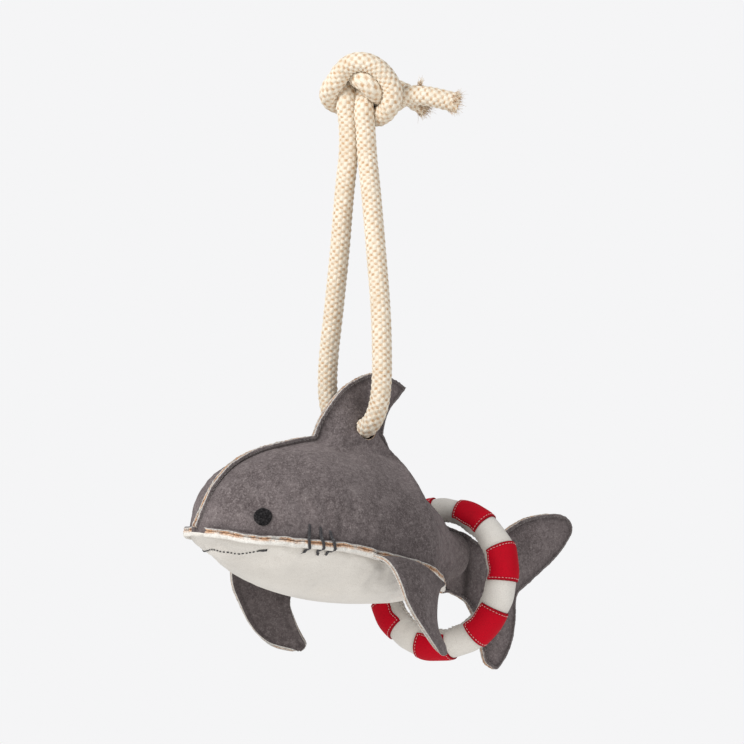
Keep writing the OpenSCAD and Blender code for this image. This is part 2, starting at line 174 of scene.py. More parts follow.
def carried_sides(p, first):
    """Two side vectors at every point of a line, carried along it without twist."""
    t = tangents(p)
    u = np.zeros_like(p)
    v = np.asarray(first, float)
    for i in range(len(p)):
        v = v - (v @ t[i]) * t[i]
        v = v / np.linalg.norm(v)
        u[i] = v
    return u, np.cross(t, u)


def smoothstep(x):
    x = np.clip(x, 0, 1)
    return x * x * (3 - 2 * x)


def waves(s, seed, longest, count=6):
    """A smooth random line over s with waves from longest down, between about -1 and 1."""
    rng = np.random.default_rng(seed)
    total = np.zeros_like(s, dtype=float)
    for k in range(count):
        length = longest / (1 + 0.9 * k)
        total += rng.uniform(0.4, 1) / (1 + 0.7 * k) * np.sin(
            2 * math.pi * s / length + rng.uniform(0, 6.28))
    return total / 1.6


# ---------------------------------------------------------------- body lines

def line_at(x, column):
    """A column of STATIONS at x, on the same smooth curve as in the CAD model."""
    x = np.asarray(x, float)
    s = STATIONS
    low = np.maximum(np.arange(len(s)) - 1, 0)
    high = np.minimum(np.arange(len(s)) + 1, len(s) - 1)
    slope = (s[high, column] - s[low, column]) / (s[high, 0] - s[low, 0])
    i = np.clip(np.searchsorted(s[:, 0], x) - 1, 0, len(s) - 2)
    h = s[i + 1, 0] - s[i, 0]
    t = (x - s[i, 0]) / h
    a, b = s[i, column], s[i + 1, column]
    return (a * (1 - 3 * t ** 2 + 2 * t ** 3) + b * (3 * t ** 2 - 2 * t ** 3)
            + h * (slope[i] * (t - 2 * t ** 2 + t ** 3) + slope[i + 1] * (t ** 3 - t ** 2)))


def back_z(x):
    return line_at(x, 1)


def ridge(x):
    """How sharply the back comes to a ridge: 1 is round, and 2 is a tent under the dorsal fin."""
    return 1 + np.clip(np.minimum((x + 60) / 80, (68 - x) / 40), 0, 1)


def side_at(x, degrees):
    """(y, z) on the outer face of the right side, degrees round from the back."""
    a = np.radians(degrees)
    w = np.radians(line_at(x, 3))
    crown = line_at(x, 1) - BACK_LIP
    y = line_at(x, 2) * np.where(a < math.pi / 2, np.abs(np.sin(a)) ** ridge(x), np.sin(a))
    z = crown - (crown - line_at(x, 4)) * (1 - np.cos(a)) / (1 - np.cos(w))
    return y, z


def left_side_point(x, degrees, out=0.0):
    """A point of the left side, out proud of it, and the side's normal there."""
    y, z = side_at(x, degrees)
    here = np.array([x, -y, z])
    along = np.array([x + 1, -side_at(x + 1, degrees)[0], side_at(x + 1, degrees)[1]]) - here
    round_ = np.array([x, -side_at(x, degrees + 1)[0], side_at(x, degrees + 1)[1]]) - here
    normal = unit(np.cross(round_, along))
    if normal[1] > 0:
        normal = -normal
    return here + normal * out, normal


def seam_point(x):
    """(y, z) of the belly seam on the right side."""
    return side_at(x, line_at(x, 3))


def left_belly_point(x, degrees):
    """A point of the left belly, degrees down from the seam."""
    y, z = seam_point(x)
    b = math.radians(degrees)
    return np.array([x, -y * math.cos(b), z - (z - line_at(x, 5)) * math.sin(b)])


# ---------------------------------------------------------------- meshes

def new_object(name, verts, faces, materials, smooth=True):
    """An object from vertices in millimetres."""
    mesh = bpy.data.meshes.new(name)
    verts = np.asarray(verts, float) * MM
    mesh.from_pydata(verts.tolist(), [], [list(map(int, f)) for f in faces])
    mesh.validate()
    for mat in materials:
        mesh.materials.append(mat)
    mesh.polygons.foreach_set("use_smooth", [smooth] * len(mesh.polygons))
    obj = bpy.data.objects.new(name, mesh)
    bpy.context.scene.collection.objects.link(obj)
    return obj


def points_of(obj):
    """An object's vertices in millimetres."""
    co = np.empty(len(obj.data.vertices) * 3)
    obj.data.vertices.foreach_get("co", co)
    return co.reshape(-1, 3) / MM


def move_points(obj, points):
    obj.data.vertices.foreach_set("co", (np.asarray(points) * MM).ravel())
    obj.data.update()


def edges_of(obj):
    e = np.empty(len(obj.data.edges) * 2, np.int64)
    obj.data.edges.foreach_get("vertices", e)
    return e.reshape(-1, 2)


def normals_of(obj):
    n = np.empty(len(obj.data.vertices) * 3)
    obj.data.vertex_normals.foreach_get("vector", n)
    return n.reshape(-1, 3)


def grid_faces(rows, cols, wrap=False):
    """Quads of a grid; wrap joins the last column to the first."""
    r = np.arange(rows - 1)[:, None]
    c = np.arange(cols if wrap else cols - 1)[None]
    d = (c + 1) % cols
    return np.stack([r * cols + c, r * cols + d, (r + 1) * cols + d, (r + 1) * cols + c],
                    -1).reshape(-1, 4)


def tube_faces(rows, cols):
    """Faces of a closed tube of rows rings, with one face over each end."""
    faces = [list(f) for f in grid_faces(rows, cols, wrap=True)]
    faces.append(list(range(cols))[::-1])
    faces.append([(rows - 1) * cols + k for k in range(cols)])
    return faces


def two_sheets(rows, cols):
    """Faces of two equal grids, one facing each way."""
    quads = grid_faces(rows, cols)
    return [list(q) for q in quads] + [[k + rows * cols for k in q[::-1]] for q in quads]


def rim_of(rows, cols):
    """The vertices round a grid's border, in order."""
    return np.concatenate([np.arange(rows) * cols, (rows - 1) * cols + np.arange(1, cols),
                           np.arange(rows - 2, -1, -1) * cols + cols - 1,
                           np.arange(cols - 2, 0, -1)])


def spokes(u, v, sides):
    """Unit directions round every point of a line, from its two side vectors."""
    ang = 2 * math.pi * np.arange(sides) / sides
    return np.cos(ang)[None, :, None] * u[:, None] + np.sin(ang)[None, :, None] * v[:, None]


def tube(line, radius, sides=8, first=UP):
    """Vertices and faces of a closed round tube, with radius one number or one per point."""
    line = np.asarray(line, float)
    radius = np.broadcast_to(np.asarray(radius, float), (len(line),))
    ring = spokes(*carried_sides(line, first), sides)
    verts = (line[:, None] + ring * radius[:, None, None]).reshape(-1, 3)
    return verts, tube_faces(len(line), sides)


def gather(parts):
    """Many (verts, faces) as one."""
    verts, faces, count = [], [], 0
    for v, f in parts:
        verts.append(np.asarray(v, float))
        faces += [[i + count for i in face] for face in f]
        count += len(v)
    return np.vstack(verts), faces


def paint(obj, name, values):
    """A number on every vertex, for a material to read."""
    att = obj.data.attributes.new(name, "FLOAT", "POINT")
    att.data.foreach_set("value", np.asarray(values, np.float32))


def use_modifier(obj, kind, **settings):
    """Adds a modifier and applies it."""
    mod = obj.modifiers.new(kind, kind)
    for key, value in settings.items():
        setattr(mod, key, value)
    bpy.context.view_layer.objects.active = obj
    with bpy.context.temp_override(object=obj, active_object=obj, selected_objects=[obj]):
        bpy.ops.object.modifier_apply(modifier=mod.name)


def face_outward(obj):
    bm = bmesh.new()
    bm.from_mesh(obj.data)
    bmesh.ops.recalc_face_normals(bm, faces=bm.faces[:])
    bm.to_mesh(obj.data)
    bm.free()


def copy_of(obj):
    """A second object with its own copy of the mesh."""
    twin = obj.copy()
    twin.data = obj.data.copy()
    bpy.context.scene.collection.objects.link(twin)
    return twin


def relax(obj, rounds):
    """Smooths a mesh without shrinking it."""
    p = points_of(obj)
    e = edges_of(obj)
    count = np.bincount(e.ravel(), minlength=len(p))[:, None]
    for factor in (0.55, -0.57) * rounds:
        total = np.zeros_like(p)
        np.add.at(total, e[:, 0], p[e[:, 1]])
        np.add.at(total, e[:, 1], p[e[:, 0]])
        p = p + factor * (total / np.maximum(count, 1) - p)
    move_points(obj, p)


# ---------------------------------------------------------------- materials

def linear(r, g, b):
    """An sRGB colour from 0 to 255 as linear values with alpha."""
    out = []
    for c in (r, g, b):
        c /= 255
        out.append(c / 12.92 if c <= 0.04045 else ((c + 0.055) / 1.055) ** 2.4)
    return (*out, 1.0)


class Look:
    """A material under construction: each method adds a node and gives its output."""

    def __init__(self, name, colour, roughness, specular=0.25, sheen=0.0):
        self.mat = bpy.data.materials.new(name)
        self.mat.use_nodes = True
        self.tree = self.mat.node_tree
        self.shader = self.tree.nodes["Principled BSDF"]
        self.shader.inputs["Base Color"].default_value = linear(*colour)
        self.shader.inputs["Roughness"].default_value = roughness
        self.shader.inputs["Specular IOR Level"].default_value = specular
        self.shader.inputs["Sheen Weight"].default_value = sheen
        self.shader.inputs["Sheen Roughness"].default_value = 0.45

    def add(self, kind, **settings):
        node = self.tree.nodes.new(kind)
        for key, value in settings.items():
            setattr(node, key, value)
        return node

    def put(self, value, socket):
        """Sets a socket to a fixed value or links an output to it."""
        if isinstance(value, bpy.types.NodeSocket):
            self.tree.links.new(value, socket)
        else:
            socket.default_value = value

    def noise(self, scale, detail=3.0, roughness=0.55, stretch=None):
        """Noise in the object's own space, in cells a metre."""
        place = self.add("ShaderNodeTexCoord").outputs["Object"]
        if stretch:
            mapping = self.add("ShaderNodeMapping")
            mapping.inputs["Scale"].default_value = stretch
            self.put(place, mapping.inputs["Vector"])
            place = mapping.outputs["Vector"]
        node = self.add("ShaderNodeTexNoise")
        self.put(place, node.inputs["Vector"])
        node.inputs["Scale"].default_value = scale
        node.inputs["Detail"].default_value = detail
        node.inputs["Roughness"].default_value = roughness
        return node.outputs["Fac"]

    def cells(self, scale):
        """Distance to the border of the nearest of many small cells."""
        node = self.add("ShaderNodeTexVoronoi", feature="DISTANCE_TO_EDGE")
        self.put(self.add("ShaderNodeTexCoord").outputs["Object"], node.inputs["Vector"])
        node.inputs["Scale"].default_value = scale
        return node.outputs["Distance"]

    def attribute(self, name):
        return self.add("ShaderNodeAttribute", attribute_name=name).outputs["Fac"]

    def span(self, value, low, high, to_low=0.0, to_high=1.0):
        """A value stretched so that low to high becomes to_low to to_high, and no further."""
        node = self.add("ShaderNodeMapRange")
        self.put(value, node.inputs["Value"])
        for key, number in (("From Min", low), ("From Max", high), ("To Min", to_low),
                            ("To Max", to_high)):
            node.inputs[key].default_value = number
        return node.outputs["Result"]

    def maths(self, operation, a, b=0.0):
        node = self.add("ShaderNodeMath", operation=operation)
        self.put(a, node.inputs[0])
        self.put(b, node.inputs[1])
        return node.outputs["Value"]

    def mix(self, factor, a, b):
        """A colour from a to b, each an output or an sRGB triple."""
        node = self.add("ShaderNodeMix", data_type="RGBA")
        self.put(factor, node.inputs["Factor"])
        ends = [i for i in node.inputs if i.type == "RGBA"]
        for socket, value in zip(ends, (a, b)):
            self.put(linear(*value) if isinstance(value, tuple) else value, socket)
        return [o for o in node.outputs if o.type == "RGBA"][0]

    def colour(self, output):
        self.put(output, self.shader.inputs["Base Color"])

    def rough(self, output):
        self.put(output, self.shader.inputs["Roughness"])

    def bump(self, *layers):
        """Bumps the surface by (height, distance in mm, strength) layers."""
        last = None
        for height, distance, strength in layers:
            node = self.add("ShaderNodeBump")
            node.inputs["Distance"].default_value = distance * MM
            node.inputs["Strength"].default_value = strength
            self.put(height, node.inputs["Height"])
            if last:
                self.put(last, node.inputs["Normal"])
            last = node.outputs["Normal"]
        self.put(last, self.shader.inputs["Normal"])


def suede_look():
    """Napped grey suede: cloudy light and dark nap, fine fibres, and painted shade in seams and creases."""
    look = Look("grey_suede", (98, 90, 90), 0.92, 0.1, 0.18)
    look.shader.inputs["Sheen Tint"].default_value = linear(190, 180, 178)
    clouds = look.noise(24, 4, 0.6)
    nap = look.noise(330, 5, 0.75)
    worn = look.noise(60, 5, 0.72)
    grain = look.noise(900, 3, 0.75)
    base = look.mix(look.span(clouds, 0.32, 0.68), (86, 78, 78), (112, 103, 103))
    base = look.mix(look.span(nap, 0.5, 0.72, 0, 0.6), base, (142, 133, 132))
    base = look.mix(look.span(nap, 0.48, 0.28, 0, 0.6), base, (62, 55, 55))
    base = look.mix(look.span(worn, 0.54, 0.72, 0, 0.4), base, (136, 127, 126))
    base = look.mix(look.span(grain, 0.54, 0.74, 0, 0.7), base, (158, 150, 148))
    base = look.mix(look.span(grain, 0.46, 0.26, 0, 0.65), base, (50, 44, 44))
    # Painted shade: the seam mark darkens the suede towards near black in the creases beside the seams, in
    # the crease at the tail stock and on the fins' inner faces.
    seam = look.attribute("seam")
    base = look.mix(look.maths("MULTIPLY", seam, 0.72), base, (34, 30, 30))
    look.colour(base)
    look.rough(look.span(nap, 0.3, 0.7, 0.95, 0.84))
    look.bump((clouds, 1.2, 0.5), (nap, 0.3, 0.5), (grain, 0.14, 0.5))
    return look.mat


def raw_edge_look(name, pale_dark, pale_light, tan_share):
    """A cut leather edge: pale, with tan and dark brown fibres showing from the core."""
    look = Look(name, pale_light, 0.9, 0.12, 0.1)
    patch = look.noise(110, 3, 0.65)
    fleck = look.noise(800, 3, 0.7)
    core = look.attribute("core")
    pale = look.mix(look.span(fleck, 0.35, 0.7), pale_dark, pale_light)
    tan = look.mix(look.span(fleck, 0.36, 0.66), (146, 100, 68), (218, 174, 132))
    amount = look.maths("MULTIPLY", core, look.span(patch, 0.36, 0.54, tan_share, 0.9))
    base = look.mix(amount, pale, tan)
    dark = look.maths("MULTIPLY", core, look.span(look.noise(480, 3), 0.57, 0.68, 0, 0.75))
    look.colour(look.mix(dark, base, (84, 56, 46)))
    look.bump((fleck, 0.4, 0.8))
    return look.mat


def black_suede_look():
    """Short black nap with a few grey fibres."""
    look = Look("black_suede", (28, 27, 28), 0.95, 0.08, 0.15)
    nap = look.noise(900, 3, 0.7)
    worn = look.noise(300, 3, 0.6)
    base = look.mix(look.span(nap, 0.45, 0.75), (20, 19, 20), (62, 60, 61))
    look.colour(look.mix(look.span(worn, 0.55, 0.75, 0, 0.5), base, (52, 48, 48)))
    look.bump((worn, 0.25, 0.5), (nap, 0.15, 0.7))
    return look.mat


def leather_look(name, light, dark, deep_tone_and_shade, roughness=0.62, specular=0.25, sheen=0.1):
    """Soft leather: fine pebbled grain, faint clouds, and painted shade in the creases beside the seams."""
    look = Look(name, light, roughness, specular, sheen)
    clouds = look.noise(22, 4, 0.6)
    grain = look.cells(850)
    fine = look.noise(1500, 2)
    creases = look.noise(60, 3, 0.6, (1, 1, 2.4))
    base = look.mix(look.span(clouds, 0.3, 0.7), dark, light)
    base = look.mix(look.span(grain, 0.12, 0.0, 0, 0.22), base, deep_tone_and_shade)
    base = look.mix(look.span(fine, 0.6, 0.8, 0, 0.25), base, deep_tone_and_shade)
    # Painted shade: the seam mark darkens towards the deep tone in the creases beside the seams and round the
    # ring's patches, and darkens each red patch towards its border. The same deep tone also colours the
    # pebbled grain.
    seam = look.attribute("seam")
    base = look.mix(look.maths("MULTIPLY", seam, 0.75), base, deep_tone_and_shade)
    look.colour(base)
    look.rough(look.span(clouds, 0.3, 0.7, roughness - 0.06, roughness + 0.1))
    look.bump((creases, 0.5, 0.25), (grain, 0.12, 0.4), (fine, 0.08, 0.4))
    return look.mat


def thread_look(name, colour, light):
    """Twisted thread with a soft sheen."""
    look = Look(name, colour, 0.55, 0.4, 0.3)
    strands = look.noise(2600, 2, 0.5, (1, 0.4, 1))
    look.colour(look.mix(look.span(strands, 0.4, 0.65), colour, light))
    look.bump((strands, 0.25, 0.6))
    return look.mat


def rope_look():
    look = Look("rope_braid", (222, 212, 196), 0.9, 0.1, 0.08)
    tan, groove = look.attribute("tan"), look.attribute("groove")
    fine = look.noise(1300, 4, 0.65)
    soft = look.noise(90, 3)
    worn = look.noise(240, 3)
    cream = look.mix(look.span(soft, 0.3, 0.7), (232, 224, 208), (216, 204, 184))
    fleck = look.mix(look.span(fine, 0.3, 0.7), (158, 116, 78), (214, 176, 134))
    amount = look.maths("MULTIPLY", tan, look.span(worn, 0.32, 0.6, 0.45, 1.0))
    base = look.mix(amount, cream, fleck)
    base = look.mix(look.span(fine, 0.56, 0.75, 0, 0.3), base, (188, 168, 142))
    base = look.mix(look.span(groove, 0.55, 1.0, 0, 0.4), base, (206, 180, 148))
    look.colour(base)
    look.bump((fine, 0.45, 0.7))
    return look.mat


def fray_look():
    look = Look("frayed_fibre", (190, 150, 110), 0.9, 0.1, 0.2)
    tone = look.noise(420, 3)
    look.colour(look.mix(look.span(tone, 0.38, 0.62), (172, 134, 98), (238, 224, 200)))
    return look.mat


# ---------------------------------------------------------------- stage, light and camera

def make_camera():
    data = bpy.data.cameras.new("camera")
    data.sensor_width = 36
    distance, width = 2.0, 0.5208
    data.lens = data.sensor_width * distance / width
    data.clip_start, data.clip_end = 0.05, 50
    cam = bpy.data.objects.new("camera", data)
    bpy.context.scene.collection.objects.link(cam)
    cam.location = RIGHT * 0.0133 + UP * -0.1729 + FRONT * distance
    cam.rotation_mode = "QUATERNION"
    cam.rotation_quaternion = Vector(-FRONT).to_track_quat("-Z", "Y")
    bpy.context.scene.camera = cam


def make_light(name, place, aim, size, power, tint=(1.0, 1.0, 1.0)):
    data = bpy.data.lights.new(name, "AREA")
    data.shape = "DISK"
    data.size = size
    data.energy = power
    data.color = tint
    light = bpy.data.objects.new(name, data)
    bpy.context.scene.collection.objects.link(light)
    light.location = place
    light.rotation_mode = "QUATERNION"
    light.rotation_quaternion = (Vector(aim) - Vector(place)).to_track_quat("-Z", "Y")


def make_room(shown, light):
    """A pale room: its colour as seen, and how strongly it lights the toy."""
    world = bpy.data.worlds.new("world")
    world.use_nodes = True
    tree = world.node_tree
    back = tree.nodes["Background"]
    back.inputs["Color"].default_value = linear(*shown)
    path = tree.nodes.new("ShaderNodeLightPath")
    strength = tree.nodes.new("ShaderNodeMapRange")
    strength.inputs["To Min"].default_value = light
    tree.links.new(path.outputs["Is Camera Ray"], strength.inputs["Value"])
    tree.links.new(strength.outputs["Result"], back.inputs["Strength"])
    bpy.context.scene.world = world


def make_stage():
    """A pale floor far below the hanging toy, a pale room round it and soft lights."""
    half, depth = 8000, -2600
    corners = [(-half, -half, depth), (half, -half, depth), (half, half, depth),
               (-half, half, depth)]
    paper = Look("floor_paper", (240, 240, 240), 0.9, 0.05)
    speck = paper.noise(400, 2)
    paper.colour(paper.mix(speck, (236, 236, 236), (244, 244, 244)))
    paper.shader.inputs["Emission Color"].default_value = linear(244, 244, 244)
    paper.shader.inputs["Emission Strength"].default_value = 0.25
    floor = new_object("floor", corners, [(0, 1, 2, 3)], [paper.mat], smooth=False)
    make_room((245, 245, 246), 0.5)
    middle = UP * -0.25
    make_light("key", FRONT * 1.2 - RIGHT * 1.7 + UP * 1.2, middle, 1.1, 56)
    make_light("fill", FRONT * 1.6 + RIGHT * 1.3 + UP * 0.3, middle, 1.4, 15)
    make_light("bounce", FRONT * 1.3 - RIGHT * 0.7 - UP * 1.5, middle, 1.6, 10, (1.0, 0.94, 0.87))
    bpy.context.scene.view_settings.view_transform = "Standard"
    bpy.context.scene.view_settings.look = "None"


# ---------------------------------------------------------------- rope

def in_view(p):
    """(right, up, front) as a point of the frame, all in millimetres."""
    return p[0] * RIGHT + p[1] * UP + p[2] * FRONT


def settle(lines, gap, rounds, fixed_below):
    """Pushes ropes apart where they lie inside each other, and keeps each one smooth."""
    pts = np.vstack(lines)
    home = pts.copy()
    owner = np.concatenate([np.full(len(line), k) for k, line in enumerate(lines)])
    order = np.concatenate([np.arange(len(line)) for line in lines])
    step = np.linalg.norm(lines[0][1] - lines[0][0])
    same = (owner[:, None] == owner[None]) & (
        np.abs(order[:, None] - order[None]) * step < 1.6 * gap)
    loose = (home[:, 2] > fixed_below)[:, None].astype(float)
    for _ in range(rounds):
        d = pts[:, None] - pts[None]
        dist = np.linalg.norm(d, axis=-1) + 1e-9
        push = np.clip(gap - dist, 0, None)
        push[same] = 0
        move = (d / dist[..., None] * push[..., None]).sum(1) * 0.18
        for k in range(len(lines)):
            mask = np.where(owner == k)[0]
            q = pts[mask]
            move[mask[1:-1]] += ((q[:-2] + q[2:]) / 2 - q[1:-1]) * 0.35
        pts = pts + loose * (move + (home - pts) * 0.02)
    return [pts[owner == k] for k in range(len(lines))]


def rope_lines():
    """The centrelines of the rope's two halves, from the hole through the knot to the free end."""
    halves = []
    for strand, side, tail in ((NEAR_STRAND, 1, NEAR_TAIL), (FAR_STRAND, -1, FAR_TAIL)):
        knot = [in_view(np.add(middle, np.multiply(side, offset))) for middle, offset in KNOT]
        line = np.vstack([strand, knot, [in_view(p) for p in tail]])
        halves.append(spline(line, 3))
    return settle(halves, gap=12.8, rounds=300, fixed_below=-20)


def make_rope_half(name, line, look):
    """A braided tube: fat cream cells and sunken tan ones, in columns half a cell apart."""
    columns, per_column, cell = 14, 7, 4.7
    centre = spline(line, 0.6)
    u, v = carried_sides(centre, RIGHT)
    s = arc_lengths(centre)[:, None]
    sides = columns * per_column
    across = np.arange(sides)[None] / per_column
    odd = np.floor(across) % 2
    wobble = 0.10 * np.sin(s * 0.31 + across) + 0.08 * np.sin(s * 0.097 + 1)
    wave = np.cos(2 * math.pi * (s / cell + wobble) + math.pi * odd)
    dome = 1 - np.abs(2 * (across % 1.0) - 1) ** 2.2
    height = dome * (0.5 + 0.5 * np.clip(wave * 1.4, -1, 1))
    radius = ROPE_D / 2 - 0.35 + 0.5 * height
    verts = (centre[:, None] + spokes(u, v, sides) * radius[..., None]).reshape(-1, 3)
    rope = new_object(name, verts, tube_faces(len(centre), sides), [look])
    paint(rope, "tan", (np.clip(-wave * 2.0 - 0.45, 0, 1) * (0.35 + 0.65 * dome)).ravel())
    paint(rope, "groove", (1 - dome + 0 * wave).ravel())
    return rope, centre


def fibres(seed, place, heading, count, length, spread, base):
    """Loose fibres that leave a place, as thin bent tubes."""
    rng = np.random.default_rng(seed)
    heading = unit(np.asarray(heading, float))
    parts = []
    t = np.linspace(0, 1, 6)[:, None]
    for _ in range(count):
        d = unit(heading + rng.normal(0, spread, 3))
        bend = rng.normal(0, 0.5, 3)
        size = length * rng.uniform(0.45, 1.1)
        start = np.asarray(place) + rng.normal(0, 0.5, 3) * base
        line = start + d * size * t + bend * size * t * t * 0.5
        parts.append(tube(line, 0.19 * (1 - 0.75 * t[:, 0]), 4, (0.3, 0.2, 0.9)))
    return gather(parts)


def make_frays(seed, line, look, name, side_tuft):
    """The frayed end of a rope half: a brush of fibres, stray yarns and a yarn that loops back."""
    end, way = line[-1], unit(line[-1] - line[-4])
    across, other = carried_sides(np.array([line[-4], line[-1]]), UP)
    parts = []
    rng = np.random.default_rng(seed)
    for k in range(46):
        a, r = rng.uniform(0, 6.28), 6.2 * math.sqrt(rng.uniform(0, 1))
        out = across[0] * math.cos(a) * r + other[0] * math.sin(a) * r
        parts.append(fibres(seed + k, end + out - way * 3, way + out * 0.05, 10, 6, 0.16, 1.5))
    for k in range(4):
        a = 1.2 + 1.7 * k
        out = across[0] * math.cos(a) + other[0] * math.sin(a)
        parts.append(fibres(seed + 60 + k, end + out * 5.5 - way * 2.5, out * 0.5 + way, 14,
                            5.5, 0.16, 1.2))
    if side_tuft:
        root = line[-1] - way * 26 + UP * 5.5
        parts.append(fibres(seed + 90, root, UP * 0.9 + way * 0.3, 60, 5, 0.22, 1.9))
        t = np.linspace(0, 2 * math.pi, 22)[:, None]
        loop = (end - way * 2 + across[0] * (0.5 + 3.6 * np.cos(t)) + FRONT * (4 + 2 * np.sin(t))
                + way * 3.4 * np.sin(t))
        parts.append(tube(loop, 0.8, 8, UP))
    return new_object(name, *gather(parts), [look])


def make_rope():
    braid, fray = rope_look(), fray_look()
    lines = rope_lines()
    for name, line, node, seed, tufted in (("near", lines[0], "rope_back_tail", 12, False),
                                           ("far", lines[1], "rope_front_tail", 11, True)):
        rope, centre = make_rope_half(f"rope_{name}_half", line, braid)
        frays = make_frays(seed, centre[::5], fray, f"rope_{name}_frayed_end", tufted)
        for piece in (rope, frays):
            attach(piece, "rope")
        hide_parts("rope_loop", "rope_knot", node)


# ---------------------------------------------------------------- outlines in the middle plane

def closest(points, line):
    """Distance from each point to an open polyline, in any number of dimensions."""
    best = np.full(len(points), np.inf)
    for a, b in zip(line[:-1], line[1:]):
        ab = b - a
        t = np.clip(((points - a) @ ab) / max(ab @ ab, 1e-12), 0, 1)
        best = np.minimum(best, np.linalg.norm(points - (a + t[:, None] * ab), axis=1))
    return best


def inside(points, polygon):
    """Which points lie in a polygon."""
    hit = np.zeros(len(points), bool)
    x, z = points[:, 0], points[:, 1]
    for (ax, az), (bx, bz) in zip(polygon, np.roll(polygon, -1, axis=0)):
        if az == bz:
            continue
        crosses = (az > z) != (bz > z)
        hit ^= crosses & (x < (bx - ax) * (z - az) / (bz - az) + ax)
    return hit


def outline(start, end):
    """A stretch of the back's raw edge in X and Z."""
    x = np.arange(start, end, 2.0)
    return np.stack([x, back_z(x)], -1)


def raw_outline():
    """The raw edge in the middle plane: nose, back, dorsal fin, back, tail and under the stock."""
    rear = STATIONS[-1, 0]
    under = [(105, -339), (100, -336), (94, -333.5), (88, -331.5), (82, -332)]
    return np.vstack([outline(-138.5, -37), spline(DORSAL_FRONT, 2), spline(DORSAL_REAR, 2)[1:],
                      outline(27.5, rear), spline(TAIL, 2), spline(under, 2)[1:]])


# ---------------------------------------------------------------- stuffed body

def body_ring(x):
    """A closed section of the stuffed body, round from the back."""
    dome_from, dome_to = 85, 103
    at = min(x, dome_from)
    y, z = side_at(at, np.linspace(0, float(line_at(at, 3)), 30))
    low = float(line_at(at, 5))
    b = np.radians(np.linspace(0, 90, 18))[1:]
    y = np.concatenate([y, y[-1] * np.cos(b)])
    z = np.concatenate([z, z[-1] - (z[-1] - low) * np.sin(b)])
    if x > dome_from:
        shrink = math.sqrt(max(1 - ((x - dome_from) / (dome_to - dome_from)) ** 2, 0.01))
        middle = -303
        y, z = y * shrink, middle + (z - middle) * shrink ** 0.6
    right = np.stack([np.full_like(y, x), y, z], -1)
    return np.vstack([right, (right * [1, -1, 1])[-2:0:-1]])


def body_loft():
    xs = np.concatenate([np.arange(-137, -120, 1.0), np.arange(-120, 85, 2.5),
                         np.arange(85, 102.8, 0.8)])
    rings = np.array([body_ring(x) for x in xs])
    return rings.reshape(-1, 3), tube_faces(len(xs), rings.shape[1])


def slab(polygon, free_edge, height):
    """A flat stuffed fin: a closed solid over a polygon, inset a little from its free edge."""
    step, inset = 1.5, 1.3
    low, high = polygon.min(0), polygon.max(0)
    xs, zs = (np.arange(low[k], high[k] + step, step) for k in (0, 1))
    gx, gz = np.meshgrid(xs, zs, indexing="ij")
    p = np.stack([gx.ravel(), gz.ravel()], -1)
    d = closest(p, free_edge)
    keep = (inside(p, polygon) & (d > inset)).reshape(gx.shape)
    h = height(p, d)
    cells = keep[:-1, :-1] & keep[1:, :-1] & keep[1:, 1:] & keep[:-1, 1:]
    count = len(p)
    verts = np.vstack([np.stack([p[:, 0], -h, p[:, 1]], -1), np.stack([p[:, 0], h, p[:, 1]], -1)])
    faces = []
    padded = np.pad(cells, 1)
    cols = gx.shape[1]
    for i, j in np.argwhere(cells):
        a, b = i * cols + j, (i + 1) * cols + j
        corners = (a, b, b + 1, a + 1)
        faces.append(list(corners))
        faces.append([k + count for k in corners[::-1]])
        beside = (padded[i + 1, j], padded[i + 2, j + 1], padded[i + 1, j + 2], padded[i, j + 1])
        for k, filled in enumerate(beside):
            if not filled:
                m, n = corners[k], corners[(k + 1) % 4]
                faces.append([n, m, m + count, n + count])
    used = np.unique(np.concatenate([np.array(f) for f in faces]))
    place = np.full(len(verts), -1)
    place[used] = np.arange(len(used))
    return verts[used], [[place[k] for k in f] for f in faces]


def dorsal_height(p, d):
    """Half thickness of the dorsal fin: flat at its border, stuffed inside, flared at its base."""
    puff = 3.8 * (1 - np.exp(-np.clip(d - BACK_LIP, 0, None) / 11))
    flare = 12 * smoothstep((-190 - p[:, 1]) / 36)
    return 1.9 + puff + flare * smoothstep((d - 2) / 14)


def tail_height(p, d):
    """Half thickness of the tail: thin stuffing, a little thicker where it leaves the body."""
    puff = 2.4 * (1 - np.exp(-np.clip(d - BACK_LIP, 0, None) / 9))
    stock = 1.5 * smoothstep((122 - p[:, 0]) / 24)
    return 1.9 + puff + stock * smoothstep((d - 3) / 10)


def make_stuffed_body():
    """Body, dorsal fin and tail as one smooth closed surface."""
    dorsal = np.vstack([spline(DORSAL_FRONT, 2), spline(DORSAL_REAR, 2)[1:]])
    dorsal_base = [(20, -240), (-30, -240)]
    tail = spline(TAIL, 2)
    tail_root = [(96, -334.3), (88, -331.3), (84, -330), (84, -302), (96, -292)]
    parts = [body_loft(), slab(np.vstack([dorsal, dorsal_base]), dorsal, dorsal_height),
             slab(np.vstack([tail, tail_root]), tail, tail_height)]
    body = new_object("stuffed_body", *gather(parts), [])
    use_modifier(body, "REMESH", mode="VOXEL", voxel_size=1.5 * MM, use_smooth_shade=True)
    relax(body, 10)
    return body


